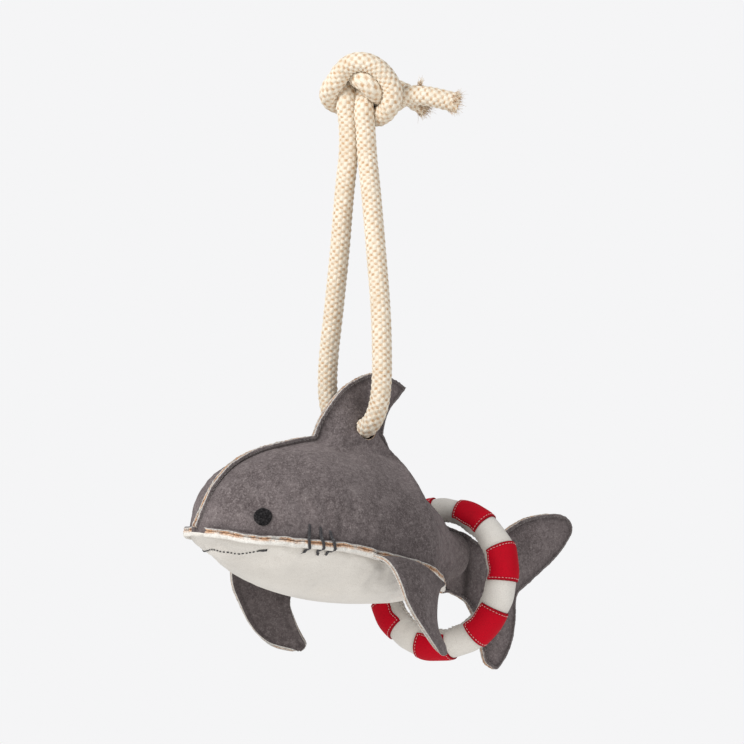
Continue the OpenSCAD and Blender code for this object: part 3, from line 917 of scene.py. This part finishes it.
def press_out(body, pins):
    """Swells the body between its seams by cloth simulation under the pressure of its stuffing.
    The points near pins hold still, no point moves further than a small cap, and the tail stock is
    drawn in a little to leave the ring room."""
    voxel, frames, cap, draw_in = 5, 16, 2.4, 1.1
    pressure, shrink, bending = 4, -0.04, 0.4
    neighbours = 5
    soft = copy_of(body)
    use_modifier(soft, "REMESH", mode="VOXEL", voxel_size=voxel * MM)
    start, normal = points_of(soft), normals_of(soft)
    held = closest(start, pins) < 1.2 * voxel
    soft.vertex_groups.new(name="held").add(np.where(held)[0].tolist(), 1.0, "REPLACE")
    cloth = soft.modifiers.new("cloth", "CLOTH")
    cloth.settings.vertex_group_mass = "held"
    cloth.settings.use_pressure = True
    cloth.settings.uniform_pressure_force = pressure
    cloth.settings.shrink_min = shrink
    cloth.settings.bending_stiffness = bending
    cloth.settings.effector_weights.gravity = 0
    for frame_number in range(1, frames + 1):
        bpy.context.scene.frame_set(frame_number)
    state = soft.evaluated_get(bpy.context.evaluated_depsgraph_get())
    end = np.empty(len(start) * 3)
    state.data.vertices.foreach_get("co", end)
    bpy.context.scene.frame_set(1)
    move = ((end.reshape(-1, 3) / MM - start) * normal).sum(1)
    move = np.clip(np.where(held, -0.5, move - np.median(move[~held])), -cap, cap)
    bpy.data.objects.remove(soft)
    tree = KDTree(len(start))
    for i, p in enumerate(start):
        tree.insert(p, i)
    tree.balance()
    p = points_of(body)
    swell = np.zeros(len(p))
    for i, point in enumerate(p):
        near = tree.find_n(point, neighbours)
        weight = [1 / (distance + 1.5) ** 2 for _, _, distance in near]
        swell[i] = sum(w * move[k] for w, (_, k, _) in zip(weight, near)) / sum(weight)
    flat = np.maximum(0.7 * smoothstep((p[:, 2] + 216) / 10), smoothstep((p[:, 0] - 62) / 14))
    stock = smoothstep((p[:, 0] - 62) / 14) * smoothstep((104 - p[:, 0]) / 5)
    move_points(body, p + normals_of(body) * (swell * (1 - flat) - draw_in * stock)[:, None])


def cut_height(x):
    """Height of the cut between side and belly panels, which ends in a point behind."""
    taper = np.clip((x - 60) / (BELLY_END - 60), 0, None)
    return line_at(np.minimum(x, 100), 4) - 7 * taper ** 2


def keep_side(obj, point, normal):
    """Cuts a mesh by a plane, both in millimetres, and keeps what is on the normal's side."""
    bm = bmesh.new()
    bm.from_mesh(obj.data)
    bmesh.ops.bisect_plane(bm, geom=bm.verts[:] + bm.edges[:] + bm.faces[:],
                           plane_co=Vector(point) * MM, plane_no=normal, clear_inner=True)
    bm.to_mesh(obj.data)
    bm.free()


def panel(body, name, above, side, materials):
    """One leather panel of the stuffed body: the part above or below the seam, on one side."""
    obj = copy_of(body)
    obj.name = obj.data.name = name
    obj.data.materials.clear()
    for mat in materials:
        obj.data.materials.append(mat)
    p = points_of(obj)
    p[:, 2] -= cut_height(p[:, 0])
    move_points(obj, p)
    keep_side(obj, (0, 0, 0), (0, 0, 1 if above else -1))
    p = points_of(obj)
    p[:, 2] += cut_height(p[:, 0])
    move_points(obj, p)
    if side:
        keep_side(obj, (0, 0, 0), (0, side, 0))
    return obj


def open_rope_hole(skin):
    """A round hole where the rope goes through the dorsal fin, with a slightly raised rim."""
    radius = 7.1
    bm = bmesh.new()
    bm.from_mesh(skin.data)

    def reach(co):
        return math.hypot(co.x, co.z - HOLE_Z * MM) / MM
    bmesh.ops.delete(bm, geom=[v for v in bm.verts if reach(v.co) < radius], context="VERTS")
    for v in bm.verts:
        r = reach(v.co)
        if r < radius + 4:
            out = 1.0 if v.co.y > 0 else -1.0
            v.co.y += out * 0.9 * MM * math.exp(-(r - radius) / 1.6)
        if v.is_boundary and r < radius + 3:
            v.co.x *= radius / r
            v.co.z = HOLE_Z * MM + (v.co.z - HOLE_Z * MM) * radius / r
    bm.to_mesh(skin.data)
    bm.free()


def finish_side(skin, back_line, belly_line):
    """Opens a side panel's rope hole, paints shade beside the seams and in the crease at the tail
    stock, and gives it its thickness."""
    open_rope_hole(skin)
    p = points_of(skin)
    far, near_belly = closest(p, back_line), closest(p, belly_line)
    # Painted shade: the suede darkens beside the back and belly seams, less on the dorsal fin and the tail,
    # and in the crease where the tail leaves the stuffed body.
    flat = np.maximum(smoothstep((p[:, 2] + 214) / 8), smoothstep((p[:, 0] - 106) / 5))
    tone = np.maximum((0.85 - 0.45 * flat) * np.exp(-np.clip(far - 1.9, 0, None) / 1.6),
                      0.8 * np.exp(-np.clip(near_belly - 2, 0, None) / 2))
    crease_shade = np.exp(-((p[:, 0] - 102.5) / 3.2) ** 2) * (np.abs(p[:, 1]) < 9)
    paint(skin, "seam", np.maximum(tone, 0.9 * crease_shade))
    use_modifier(skin, "SOLIDIFY", thickness=LEATHER_T * MM, offset=-1, material_offset_rim=1)
    paint(skin, "core", np.full(len(skin.data.vertices), 0.6))


# ---------------------------------------------------------------- raw seam edges

def flange_layer(name, base, out, up, width, depth, thick, seed, looks, ruffle, spread,
                 tan_mm):
    """One leather layer of a raw seam edge along a line. It runs from depth inside the seam to
    width outside it, and the cut edge is rough and wavers. The inner tan_mm of the cut is tan."""
    s = arc_lengths(base)
    rng = np.random.default_rng(seed)
    w = width * (1 + 0.08 * waves(s, seed, 45)) + rng.normal(0, 0.10, len(s))
    lift = spread * (0.55 + 0.45 * waves(s, seed + 1, 30))
    both = ruffle * waves(s, seed // 10, 55)
    tan = tan_mm / thick
    section = [(-depth, thick * 0.45, 0, 0), (0.0, thick, 0, 0), (0.4, thick + 0.3, 0, 0),
               (0.7, thick + 0.25, 0, 0), (0.88, thick, 0, 0), (0.96, thick * 0.86, 1, 0.0),
               (1.0, thick * 0.66, 1, 0.0), (1.0, (thick * 0.66 + tan_mm) / 2, 1, 0.1),
               (1.0, thick * tan, 1, 0.8), (0.98, thick * tan * 0.5, 1, 1.0),
               (0.92, 0.06, 1, 1.0), (0.4, 0.05, 1, 1.0), (-depth, 0.05, 0, 0.5)]
    rows, core = [], []
    for o, n, _, c in section:
        reach = np.where(o > 0, o, 0) * w + (o if o <= 0 else 0)
        rough = rng.normal(0, 0.12, len(s)) if o > 0.9 else 0
        rise = (lift * np.maximum(o, 0) ** 2 + both * max(o, 0) ** 1.5)
        rows.append(base + out * (reach + rough)[:, None] + up * (n + rise)[:, None])
        core.append(np.full(len(s), c))
    cols = len(section)
    verts = np.stack(rows, 1).reshape(-1, 3)
    obj = new_object(name, verts, tube_faces(len(s), cols), looks)
    raw = [section[k][2] and section[(k + 1) % cols][2] for k in range(cols)]
    index = np.array([raw[k % cols] for k in range((len(s) - 1) * cols)] + [1, 1])
    obj.data.polygons.foreach_set("material_index", index.astype(np.int32))
    paint(obj, "core", np.stack(core, 1).ravel())
    # Painted shade: the layer darkens towards its seam line, in the crease where it meets its panel.
    near = np.exp(-np.array([max(o, 0) * LIP for o, *_ in section]) / 1.3)
    paint(obj, "seam", np.tile(near, len(s)) * 0.45)
    return obj


def back_lines():
    """The raw edge round the middle plane: points on its seam line and its outward directions."""
    line = resample(raw_outline(), 1.1)
    t = tangents(line)
    for _ in range(2):
        t[1:-1] = (t[:-2] + t[1:-1] + t[2:]) / 3
    t = unit(t)
    out2 = np.stack([-t[:, 1], t[:, 0]], -1)
    base2 = line - out2 * BACK_LIP
    base = np.stack([base2[:, 0], np.zeros(len(line)), base2[:, 1]], -1)
    out = np.stack([out2[:, 0], np.zeros(len(line)), out2[:, 1]], -1)
    return base, out


def belly_lines():
    """The belly seam from behind on the right, round the nose, to behind on the left: points,
    outward directions and upward directions."""
    x = np.concatenate([np.arange(72, -125, -3.0), [-127, -129, -130.5]])
    y, z = seam_point(x)
    right = np.stack([x, y, z], -1)
    left = (right * [1, -1, 1])[::-1]
    line = spline(np.vstack([right, [(-131.5, 0, -280.5)], left]), 1.1)
    line[:, 2] += 2 * smoothstep((-110 - line[:, 0]) / 18)
    turn = np.radians(np.clip(line_at(line[:, 0], 6), 0, 88))
    turn[line[:, 0] < 55] = 0
    side = np.sign(line[:, 1])
    up = np.stack([0 * turn, side * np.sin(turn), np.cos(turn)], -1)
    out = unit(np.cross(up, tangents(line)))
    middle = len(line) // 2
    if out[middle, 0] > 0:
        out = -out
    up = unit(np.cross(tangents(line), out))
    return line, out, up * np.sign(up[len(up) // 4, 2])


def stitch_row(parts, line, out, up, reach, pitch, length, radius):
    """Adds a row of thread stitches along a seam, reach out from its line and up on its layer."""
    s = arc_lengths(line)
    place = line + out * reach
    for start in np.arange(pitch, s[-1] - pitch, pitch):
        at = start + np.linspace(0, length, 5)
        arch = 0.35 * np.sin(np.linspace(0, math.pi, 5))
        parts.append(tube(along(place, s, at) + along(up, s, at) * arch[:, None], radius, 6, (0.3, 0.5, 0.8)))


def make_flanges(suede, white, raw, raw_white):
    """The raw edges that stand proud along the back seam and the belly seam."""
    base, out = back_lines()
    pieces = []
    for name, side, seed in (("left", -1, 100), ("right", 1, 105)):
        up = np.tile([0.0, side, 0.0], (len(base), 1))
        edge = flange_layer(f"{name}_back_raw_edge", base, out, up, BACK_LIP, 4.5, SKIN - 0.2, seed,
                            [suede, raw], ruffle=0.3, spread=0.3, tan_mm=0.5)
        pieces.append(edge)
    line, out, up = belly_lines()
    width = LIP * (0.12 + 0.88 * smoothstep((68 - line[:, 0]) / 34)
                   - 0.42 * smoothstep((-98 - line[:, 0]) / 24))
    upper = flange_layer("side_belly_raw_edge", line, out, up, width, 2.5, SKIN, 200,
                         [suede, raw], ruffle=1.0, spread=0.4, tan_mm=1.0)
    lower = flange_layer("belly_raw_edge", line, out, -up, width + 0.3, 2.5, SKIN + 1.9, 207,
                         [white, raw_white], ruffle=-1.0, spread=0.2, tan_mm=0.9)
    return pieces, [upper, lower], base, line


def make_seam_threads(dark, pale):
    """The stitches that hold the panels together, where each raw edge meets its panel."""
    base, out = back_lines()
    parts = []
    for side in (-1, 1):
        up = np.tile([0.0, side, 0.0], (len(base), 1))
        stitch_row(parts, base + up * (SKIN + 0.1), out, up, 0.9, 3.4, 2.5, 0.34)
    back = new_object("back_seam_stitches", *gather(parts), [dark])
    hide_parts("back_seam_thread")
    line, out, up = belly_lines()
    parts = []
    stitch_row(parts, line - up * (SKIN + 1.35), out, -up, 1.1, 3.6, 2.6, 0.34)
    belly = new_object("belly_seam_stitches", *gather(parts), [pale])
    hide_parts("left_belly_seam_thread", "right_belly_seam_thread")
    return back, belly


# ---------------------------------------------------------------- eyes and embroidery

class Skin:
    """The toy's outer surface, to lay small pieces on."""

    def __init__(self, pieces):
        verts, faces = gather([(points_of(piece), [f.vertices for f in piece.data.polygons])
                               for piece in pieces])
        self.tree = BVHTree.FromPolygons(verts.tolist(), faces)

    def below(self, point, way):
        """The place where a line from outside towards way meets the surface, and its normal."""
        hit, normal, *_ = self.tree.ray_cast(Vector(point), Vector(way))
        if hit is None:
            hit, normal, *_ = self.tree.find_nearest(Vector(point))
        normal = np.array(normal)
        return np.array(hit), normal * (1 if normal @ way < 0 else -1)

    def nearest(self, point):
        """The place of the surface nearest to a point, and its normal towards that point."""
        hit, normal, *_ = self.tree.find_nearest(Vector(point))
        away = np.asarray(point) - np.array(hit)
        normal = np.array(normal)
        return np.array(hit), normal * (1 if normal @ away >= 0 else -1)


def make_eye(skin, name, side, look):
    """A round black suede patch that follows the cheek, a little thick and cut by hand."""
    guess, normal = left_side_point(*EYE, out=9)
    guess, normal = guess * [1, -side, 1], normal * [1, -side, 1]
    centre, normal = skin.below(guess, -normal)
    u = unit(np.cross(normal, UP))
    v = np.cross(normal, u)
    profile = [(0.0, 1.2), (0.3, 1.2), (0.6, 1.2), (0.8, 1.15), (0.92, 1.05), (0.98, 0.85),
               (1.0, 0.5), (1.0, -0.5)]
    sectors = 96
    a = 2 * math.pi * np.arange(sectors) / sectors
    cut = 1 + 0.012 * np.sin(3 * a + 1) + 0.010 * np.sin(7 * a) + 0.006 * np.sin(19 * a)
    rings = []
    for share, rise in profile:
        r = EYE_D / 2 * max(share, 0.02) * cut
        for k in range(sectors):
            p = centre + (u * math.cos(a[k]) + v * math.sin(a[k])) * r[k]
            hit, _ = skin.below(p + normal * 9, -normal)
            rings.append(hit + normal * rise)
    eye = new_object(f"{name}_eye_patch", rings, tube_faces(len(profile), sectors), [look])
    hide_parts(f"{name}_eye")
    return eye


def on_skin(skin, points, side, proud):
    """A thread's line through the given points, laid on the skin of one side."""
    line = spline(points, 0.5) * [1, -side, 1]
    laid = []
    for p in line:
        hit, normal = skin.nearest(p)
        laid.append(hit + normal * proud)
    laid = np.array(laid)
    for _ in range(4):
        laid[1:-1] = (laid[:-2] + 2 * laid[1:-1] + laid[2:]) / 4
    return laid


def make_mouth(skin, name, side, look):
    """A smile in short stitches, ending in a fat satin stitch under the eye."""
    route = [left_belly_point(x, d) * [1, 1.06, 1.002] for x, d in MOUTH]
    line = on_skin(skin, route, side, 0.42)
    s = arc_lengths(line)
    parts = []
    rng = np.random.default_rng(17)
    start = 0.3
    while start < s[-1] - 2:
        size = rng.uniform(1.5, 2.4)
        at = np.linspace(start, start + size, 6)
        parts.append(tube(along(line, s, at), [0.12, 0.36, 0.46, 0.46, 0.36, 0.12], 8, (0.2, 0.5, 0.8)))
        start += size + rng.uniform(0.7, 1.2)
    a, b = (left_belly_point(x, d) * [1, 1.06, 1.002] for x, d in MOUTH_END)
    for k in range(7):
        shift = np.array([0, 0, 0.26 * (k - 3)])
        fat = on_skin(skin, [a + shift * 0.4, (a + b) / 2 + shift * 1.5, b + shift * 1.2], side, 0.5)
        parts.append(tube(fat, 0.34, 6, (0.2, 0.5, 0.8)))
    mouth = new_object(f"{name}_mouth_stitches", *gather(parts), [look])
    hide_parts(f"{name}_mouth_thread")
    return mouth


def make_gills(skin, name, side, look):
    """Three wavy threads that cross the belly seam's raw edge, each with short loose wisps."""
    parts = []
    rng = np.random.default_rng(23)
    for above, x_edge, below in GILLS:
        y, z = seam_point(x_edge)
        edge = [np.array([x_edge, -y - LIP - 1.5, z + 3]), np.array([x_edge, -y - LIP - 2, z - 0.5]),
                np.array([x_edge + 0.6, -y - LIP - 1.5, z - 4])]
        route = ([left_side_point(x, d, out=2)[0] for x, d in above] + edge
                 + [left_belly_point(x, d) * [1, 1.05, 1] for x, d in below])
        line = on_skin(skin, route, side, 0.5)
        n = len(line)
        for strand in range(3):
            turn = np.arange(n) * 0.55 + strand * 2.1
            twist = np.stack([0.38 * np.cos(turn), 0.2 * np.sin(turn), 0 * turn], -1)
            thick = 0.74 * np.clip(np.minimum(np.arange(n), n - 1 - np.arange(n)) / 3, 0.25, 1)
            parts.append(tube(line + twist, thick, 7, (0.9, 0.2, 0.1)))
        for at, way in ((0.22, -1), (0.52, 1), (0.97, -1)):
            p = line[int(at * (n - 1))]
            t = np.linspace(0, 1, 5)[:, None]
            size = rng.uniform(1.6, 2.4)
            wisp = p + t * np.array([way * size, 0.15 * -side * size, 0.2 * size * rng.normal()])
            parts.append(tube(wisp, 0.28 * (1 - 0.7 * t[:, 0]), 6, (0.1, 0.2, 0.9)))
    gills = new_object(f"{name}_gill_stitches", *gather(parts), [look])
    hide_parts(f"{name}_gill_threads")
    return gills


# ---------------------------------------------------------------- pectoral fins

def leaf_edges(v):
    """The front and the rear edge of a fin at the places v, counted in points from its root."""
    edges = []
    for leaf, x in ((LEAF_FRONT, -40), (LEAF_REAR, 28)):
        root = [x, -(line_at(x, 2) - 1), line_at(x, 4) - 1.5]
        points = np.vstack([[root], np.array(leaf, float)])
        fine = spline(points, 0.5)
        s = arc_lengths(fine)
        knots = [s[np.argmin(np.linalg.norm(fine - p, axis=1))] for p in points]
        edges.append(along(fine, s, np.interp(v + 1, np.arange(len(points)), knots)))
    return edges


def leaf_grid(v, cols, steps):
    """A fin's middle surface: its points and normals, and each point's share of the way from the
    front edge to the rear one."""
    f, r = leaf_edges(v)
    u = np.linspace(0, 1, cols)
    tip = np.clip((v - (steps - 1.1)) / 1.1, 0, 1)
    narrow = np.sqrt(np.clip(1 - tip ** 2.6, 0.02, 1))
    spread = 0.5 + (u[None] - 0.5) * narrow[:, None]
    fade = np.clip(1 - np.maximum(v, 0) / 3, 0, 1)[:, None] * smoothstep((v[:, None] + 0.6) / 1.2)
    bow = 4 * spread * (1 - spread)
    mid = f[:, None] * (1 - spread[..., None]) + r[:, None] * spread[..., None]
    mid[..., 1] += bow * (-3 - 3 * fade)
    mid[..., 2] += bow * 6 * fade
    s = arc_lengths(f)[:, None] + 0 * spread
    mid[..., 1] += 0.7 * np.sin(s / 17 + 2.2 * spread) * smoothstep(v[:, None] / 2)
    normal = unit(np.cross(np.gradient(mid, axis=1), np.gradient(mid, axis=0)))
    if normal[len(v) // 2, cols // 2, 1] > 0:
        normal = -normal
    return mid, normal, spread


def make_pectoral(side, suede, raw):
    """A fin of two suede layers, sewn into the belly seam; side is -1 for the left one."""
    rows, cols, steps = 70, 26, len(LEAF_FRONT) - 1
    v = np.linspace(-0.6, steps, rows)
    mid, normal, spread = leaf_grid(v, cols, steps)
    edge_d = np.minimum(np.minimum(spread, 1 - spread) * 26, (steps - v[:, None]) * 8)
    half = 1.6 + 0.9 * (1 - np.exp(-np.clip(edge_d - 3.5, 0, None) / 3))
    sheets = [(mid + normal * half[..., None]).reshape(-1, 3),
              (mid - normal * half[..., None]).reshape(-1, 3)]
    count = rows * cols
    faces = two_sheets(rows, cols)
    rng = np.random.default_rng(31 if side < 0 else 32)
    flat = rim_of(rows, cols)
    rim_mid, rim_normal = mid.reshape(-1, 3)[flat], normal.reshape(-1, 3)[flat]
    away = unit(rim_mid - mid[rows // 2, cols // 2])
    loops, core = [], [np.zeros(2 * count)]
    for level, out, c in ((0.85, 0.35, 0.0), (0.4, 0.4, 0.1), (0.12, 0.25, 0.7), (0, -0.4, 0.9),
                          (-0.12, 0.25, 0.7), (-0.4, 0.4, 0.1), (-0.85, 0.35, 0.0)):
        jitter = rng.normal(0, 0.1, (len(flat), 1))
        loops.append(rim_mid + rim_normal * level * 1.6 + away * (out + jitter))
        core.append(np.full(len(flat), c))
    verts = np.vstack(sheets + loops)
    ring = [list(flat)]
    for k in range(len(loops)):
        ring.append([2 * count + k * len(flat) + i for i in range(len(flat))])
    ring.append(list(flat + count))
    walls = []
    for a, b in zip(ring[:-1], ring[1:]):
        for i in range(len(flat)):
            j = (i + 1) % len(flat)
            walls.append([a[j], a[i], b[i], b[j]])
    reach = np.clip(-322 - verts[:, 2], 0, None)
    verts[:, 2] += reach * (0.08 if side < 0 else -0.12)
    if side > 0:
        verts = verts * [1, -1, 1]
    name = "left" if side < 0 else "right"
    fin = new_object(f"{name}_pectoral_fin_leather", verts, faces + walls, [suede, raw])
    index = np.array([0] * len(faces) + [1] * len(walls), np.int32)
    fin.data.polygons.foreach_set("material_index", index)
    face_outward(fin)
    paint(fin, "core", np.concatenate(core))
    # Painted shade: the fin darkens towards its root in the belly seam and along the valley where its flat
    # border meets the stuffed middle. Its whole inner face, which faces the belly, is painted in shade.
    root_shade = np.exp(-np.clip(v, 0, None) * 1.1)[:, None] + 0 * spread
    inner = 0.25 * np.exp(-((edge_d - 3.4) / 0.9) ** 2)
    tone = np.clip(root_shade * 0.7 + inner, 0, 1).ravel()
    shade = np.clip(tone + 0.6, 0, 1)
    paint(fin, "seam", np.concatenate([tone, shade, np.zeros(7 * len(flat))]))
    return fin


# ---------------------------------------------------------------- life-buoy ring

def ring_frame():
    """The ring's own axes: up in its plane, across in its plane, and its normal."""
    ca, sa = math.cos(RING_LEAN - math.pi / 2), math.sin(RING_LEAN - math.pi / 2)
    cb, sb = math.cos(RING_TURN), math.sin(RING_TURN)
    x = np.array([cb * ca, sb * ca, -sa])
    y = np.array([-sb, cb, 0])
    return x, y, np.cross(x, y)


def at_top(theta):
    """1 at the top of the ring, where it is pressed a little flat, and 0 away from it."""
    return np.exp(-((np.asarray(theta) + np.pi) % (2 * np.pi) - np.pi) ** 2 / 0.35)


def ring_point(theta, phi, out):
    """A point of the ring: theta round it, phi round its tube from outward, out from the middle
    of the tube. Angles are in radians and may be arrays."""
    x, y, n = ring_frame()
    wobble = 0.5 * np.sin(2 * theta + 0.6) + 0.35 * np.sin(5 * theta + 1)
    lean = 0.7 * np.sin(3 * theta + 2)
    reach = RING_R + wobble - 1.4 * at_top(theta) + out * np.cos(phi)
    rise = lean + out * np.sin(phi)
    theta, reach, rise = (np.asarray(a)[..., None] for a in np.broadcast_arrays(theta, reach, rise))
    return np.array(RING_CENTRE) + reach * (np.cos(theta) * x + np.sin(theta) * y) + rise * n


def patch_middle(k):
    return math.radians(PATCH_FIRST + k * 360 / PATCHES)


def tube_radius(theta, phi):
    """Radius of the stuffed cover: lumpy, and pulled in at the seam along its inside."""
    lumps = 0.28 * np.sin(9 * theta + 2 * phi) + 0.22 * np.sin(17 * theta - phi + 1)
    seam = np.exp(-((np.abs(np.pi - np.abs(phi))) / 0.16) ** 2)
    pucker = 0.28 * np.cos(64 * theta) * np.exp(-((np.pi - np.abs(phi)) / 0.5) ** 2)
    return TUBE_R - 0.2 - 2.2 * at_top(theta) + lumps - 1.3 * seam + pucker


def make_ring(white, red, thread, pale):
    theta = np.linspace(0, 2 * np.pi, 420, endpoint=False)[:, None]
    phi = np.linspace(-np.pi, np.pi, 72, endpoint=False)[None]
    verts = ring_point(theta, phi, tube_radius(theta, phi))
    rows, cols = verts.shape[:2]
    faces = [list(f) for f in grid_faces(rows + 1, cols, wrap=True) % (rows * cols)]
    cover = new_object("ring_cover_leather", verts.reshape(-1, 3), faces, [white])
    # Painted shade: the cover darkens in the groove along its inner seam, and in a narrow band round each red
    # patch beside the patch's raised edge.
    seam_groove_shade = np.exp(-((np.pi - np.abs(phi)) / 0.22) ** 2) + 0 * theta
    edge = np.zeros_like(seam_groove_shade)
    for k in range(PATCHES):
        off = np.abs((theta - patch_middle(k) + np.pi) % (2 * np.pi) - np.pi)
        beyond = off - math.radians(PATCH_ANGLE / 2)
        edge = np.maximum(edge, np.exp(-np.clip(beyond, 0, 1) / 0.035) + 0 * phi)
    paint(cover, "seam", np.clip(0.8 * seam_groove_shade + 0.35 * edge, 0, 1).ravel())
    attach(cover, "ring")
    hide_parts("ring_cover", "ring_filling")
    stitches = []
    for t in np.arange(0, 2 * np.pi, math.radians(4.5)):
        span = np.linspace(-0.22, 0.22, 7)
        line = ring_point(t + 0.25 * span, np.pi + span,
                          tube_radius(t, np.pi - np.abs(span)) + 0.4 * np.cos(span * 7))
        stitches.append(tube(line, 0.42, 6, ring_frame()[2]))
    seam = new_object("ring_seam_stitches", *gather(stitches), [pale])
    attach(seam, "ring")
    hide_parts("ring_seam_thread")
    for k in range(PATCHES):
        make_patch(k, red, thread)


def make_patch(k, red, thread):
    """A red patch wrapped round the tube, with rounded edges and a dotted row of stitches."""
    middle = patch_middle(k)
    rng = np.random.default_rng(50 + k)
    half = math.radians(PATCH_ANGLE / 2) * rng.uniform(0.97, 1.05)
    wrap = math.radians(PATCH_WRAP)
    rows, cols = 44, 110
    a = np.linspace(-1, 1, rows)[:, None]
    b = np.linspace(-1, 1, cols)[None]
    skew = rng.normal(0, 0.025)
    length_mm, around_mm = half * RING_R, wrap * TUBE_R

    def place(a, b):
        """The ring's two angles at (a, b) of the patch, which run from -1 to 1."""
        theta = middle + half * a + 0.03 * np.cos(b * 2.2 + k) * half + skew * b * half
        return theta, wrap * b * (1 + 0.02 * np.sin(5 * a + k))
    theta, phi = place(a, b)
    edge = np.minimum((1 - np.abs(a)) * length_mm, (1 - np.abs(b)) * around_mm)
    sink = 0.55 * np.exp(-((edge - 1.7) / 0.55) ** 2)
    top = 1.45 - 0.9 * np.exp(-edge / 0.35) - sink
    outer = ring_point(theta, phi, tube_radius(theta, phi) + np.clip(top, 0.3, None))
    inner = ring_point(theta, phi, tube_radius(theta, phi) - 0.5)
    count = rows * cols
    verts = np.vstack([outer.reshape(-1, 3), inner.reshape(-1, 3)])
    faces = two_sheets(rows, cols)
    rim = rim_of(rows, cols)
    for i, p in enumerate(rim):
        q = rim[(i + 1) % len(rim)]
        faces.append([q, p, p + count, q + count])
    patch = new_object(f"ring_patch_{k + 1}_leather", verts, faces, [red])
    # The seam mark darkens the patch towards its border, and paints shade along the sunken line just inside
    # it.
    tone = np.clip(np.exp(-edge / 0.8) + 0.4 * np.exp(-((edge - 1.7) / 0.5) ** 2), 0, 1)
    paint(patch, "seam", np.concatenate([tone.ravel(), tone.ravel()]))
    face_outward(patch)
    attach(patch, "ring")
    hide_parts(f"ring_patch_{k + 1}")
    stitch_patch(k, place, np.array([length_mm, around_mm]), thread)


def stitch_patch(k, place, half_size, thread):
    """A row of short stitches just inside a patch's border."""
    inset, pitch, length, count = 1.7, 2.3, 1.45, 5
    corners = np.array([(-1, -1), (1, -1), (1, 1), (-1, 1), (-1, -1)])
    loop = corners * (1 - inset / half_size) * half_size
    s = arc_lengths(loop)
    stitches = []
    for start in np.arange(0, s[-1] - 1.5, pitch):
        at = along(loop, s, start + np.linspace(0, length, count)) / half_size
        theta, phi = place(at[:, 0], at[:, 1])
        rise = 0.9 + 0.38 * np.sin(np.linspace(0, np.pi, count))
        line = ring_point(theta, phi, tube_radius(theta, phi) + rise)
        stitches.append(tube(line, [0.12, 0.26, 0.3, 0.26, 0.12], 6, (0.1, 0.9, 0.4)))
    sewn = new_object(f"ring_patch_{k + 1}_stitches", *gather(stitches), [thread])
    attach(sewn, "ring")


# ---------------------------------------------------------------- the whole toy

make_camera()
make_rope()
make_stage()

suede = suede_look()
raw = raw_edge_look("raw_suede_edge", (150, 147, 142), (206, 204, 199), 0.0)
raw_white = raw_edge_look("raw_white_edge", (206, 203, 196), (232, 230, 225), 0.1)
black_suede = black_suede_look()
black_thread = thread_look("black_thread", (22, 21, 23), (58, 56, 60))
white = leather_look("white_leather", (228, 224, 217), (212, 208, 201), (148, 139, 128))
red = leather_look("red_leather", (200, 0, 32), (180, 0, 27), (92, 0, 12), 0.7, 0.12, 0.0)
pale_thread = thread_look("pale_thread", (214, 205, 192), (236, 230, 220))
pink_thread = thread_look("patch_thread", (216, 130, 130), (238, 190, 186))

body = make_stuffed_body()
press_out(body, np.vstack([back_lines()[0][::4], belly_lines()[0][::4]]))
left_skin = panel(body, "left_side_leather", True, -1, [suede, raw])
right_skin = panel(body, "right_side_leather", True, 1, [suede, raw])
belly_skin = panel(body, "belly_leather", False, 0, [white])
back_edges, belly_edges, back_base, belly_line = make_flanges(suede, white, raw, raw_white)
outer = Skin([body] + belly_edges)
cheek = Skin([body])
trims = []
for name, side in SIDES:
    trims.append(make_eye(outer, name, side, black_suede))
    trims.append(make_mouth(cheek, name, side, black_thread))
    trims.append(make_gills(outer, name, side, black_thread))
grey_thread = thread_look("grey_thread", (70, 64, 63), (120, 113, 110))
back_stitches, belly_stitches = make_seam_threads(grey_thread, pale_thread)
for skin in (left_skin, right_skin):
    finish_side(skin, back_base[::4], belly_line[::4])
# Painted shade on the belly beside its seam, in the crease under the raw edge.
near_belly = closest(points_of(belly_skin), belly_line[::4])
paint(belly_skin, "seam", 0.7 * np.exp(-np.clip(near_belly - 2, 0, None) / 1.8))
use_modifier(belly_skin, "SOLIDIFY", thickness=LEATHER_T * MM, offset=-1)
bpy.data.objects.remove(body)

for piece in [left_skin, right_skin, back_stitches] + back_edges:
    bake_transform(piece)
for piece in [belly_skin, belly_stitches] + belly_edges + trims:
    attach(piece, "shark")
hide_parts("left_side_panel", "left_tail_panel", "body_filling", "dorsal_filling",
            "tail_filling")
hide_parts("right_side_panel", "right_tail_panel")
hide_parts("belly_panel")

for name, side in SIDES:
    fin = make_pectoral(side, suede, raw)
    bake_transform(fin)
    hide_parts(f"{name}_pectoral_fin")

make_ring(white, red, pink_thread, pale_thread)
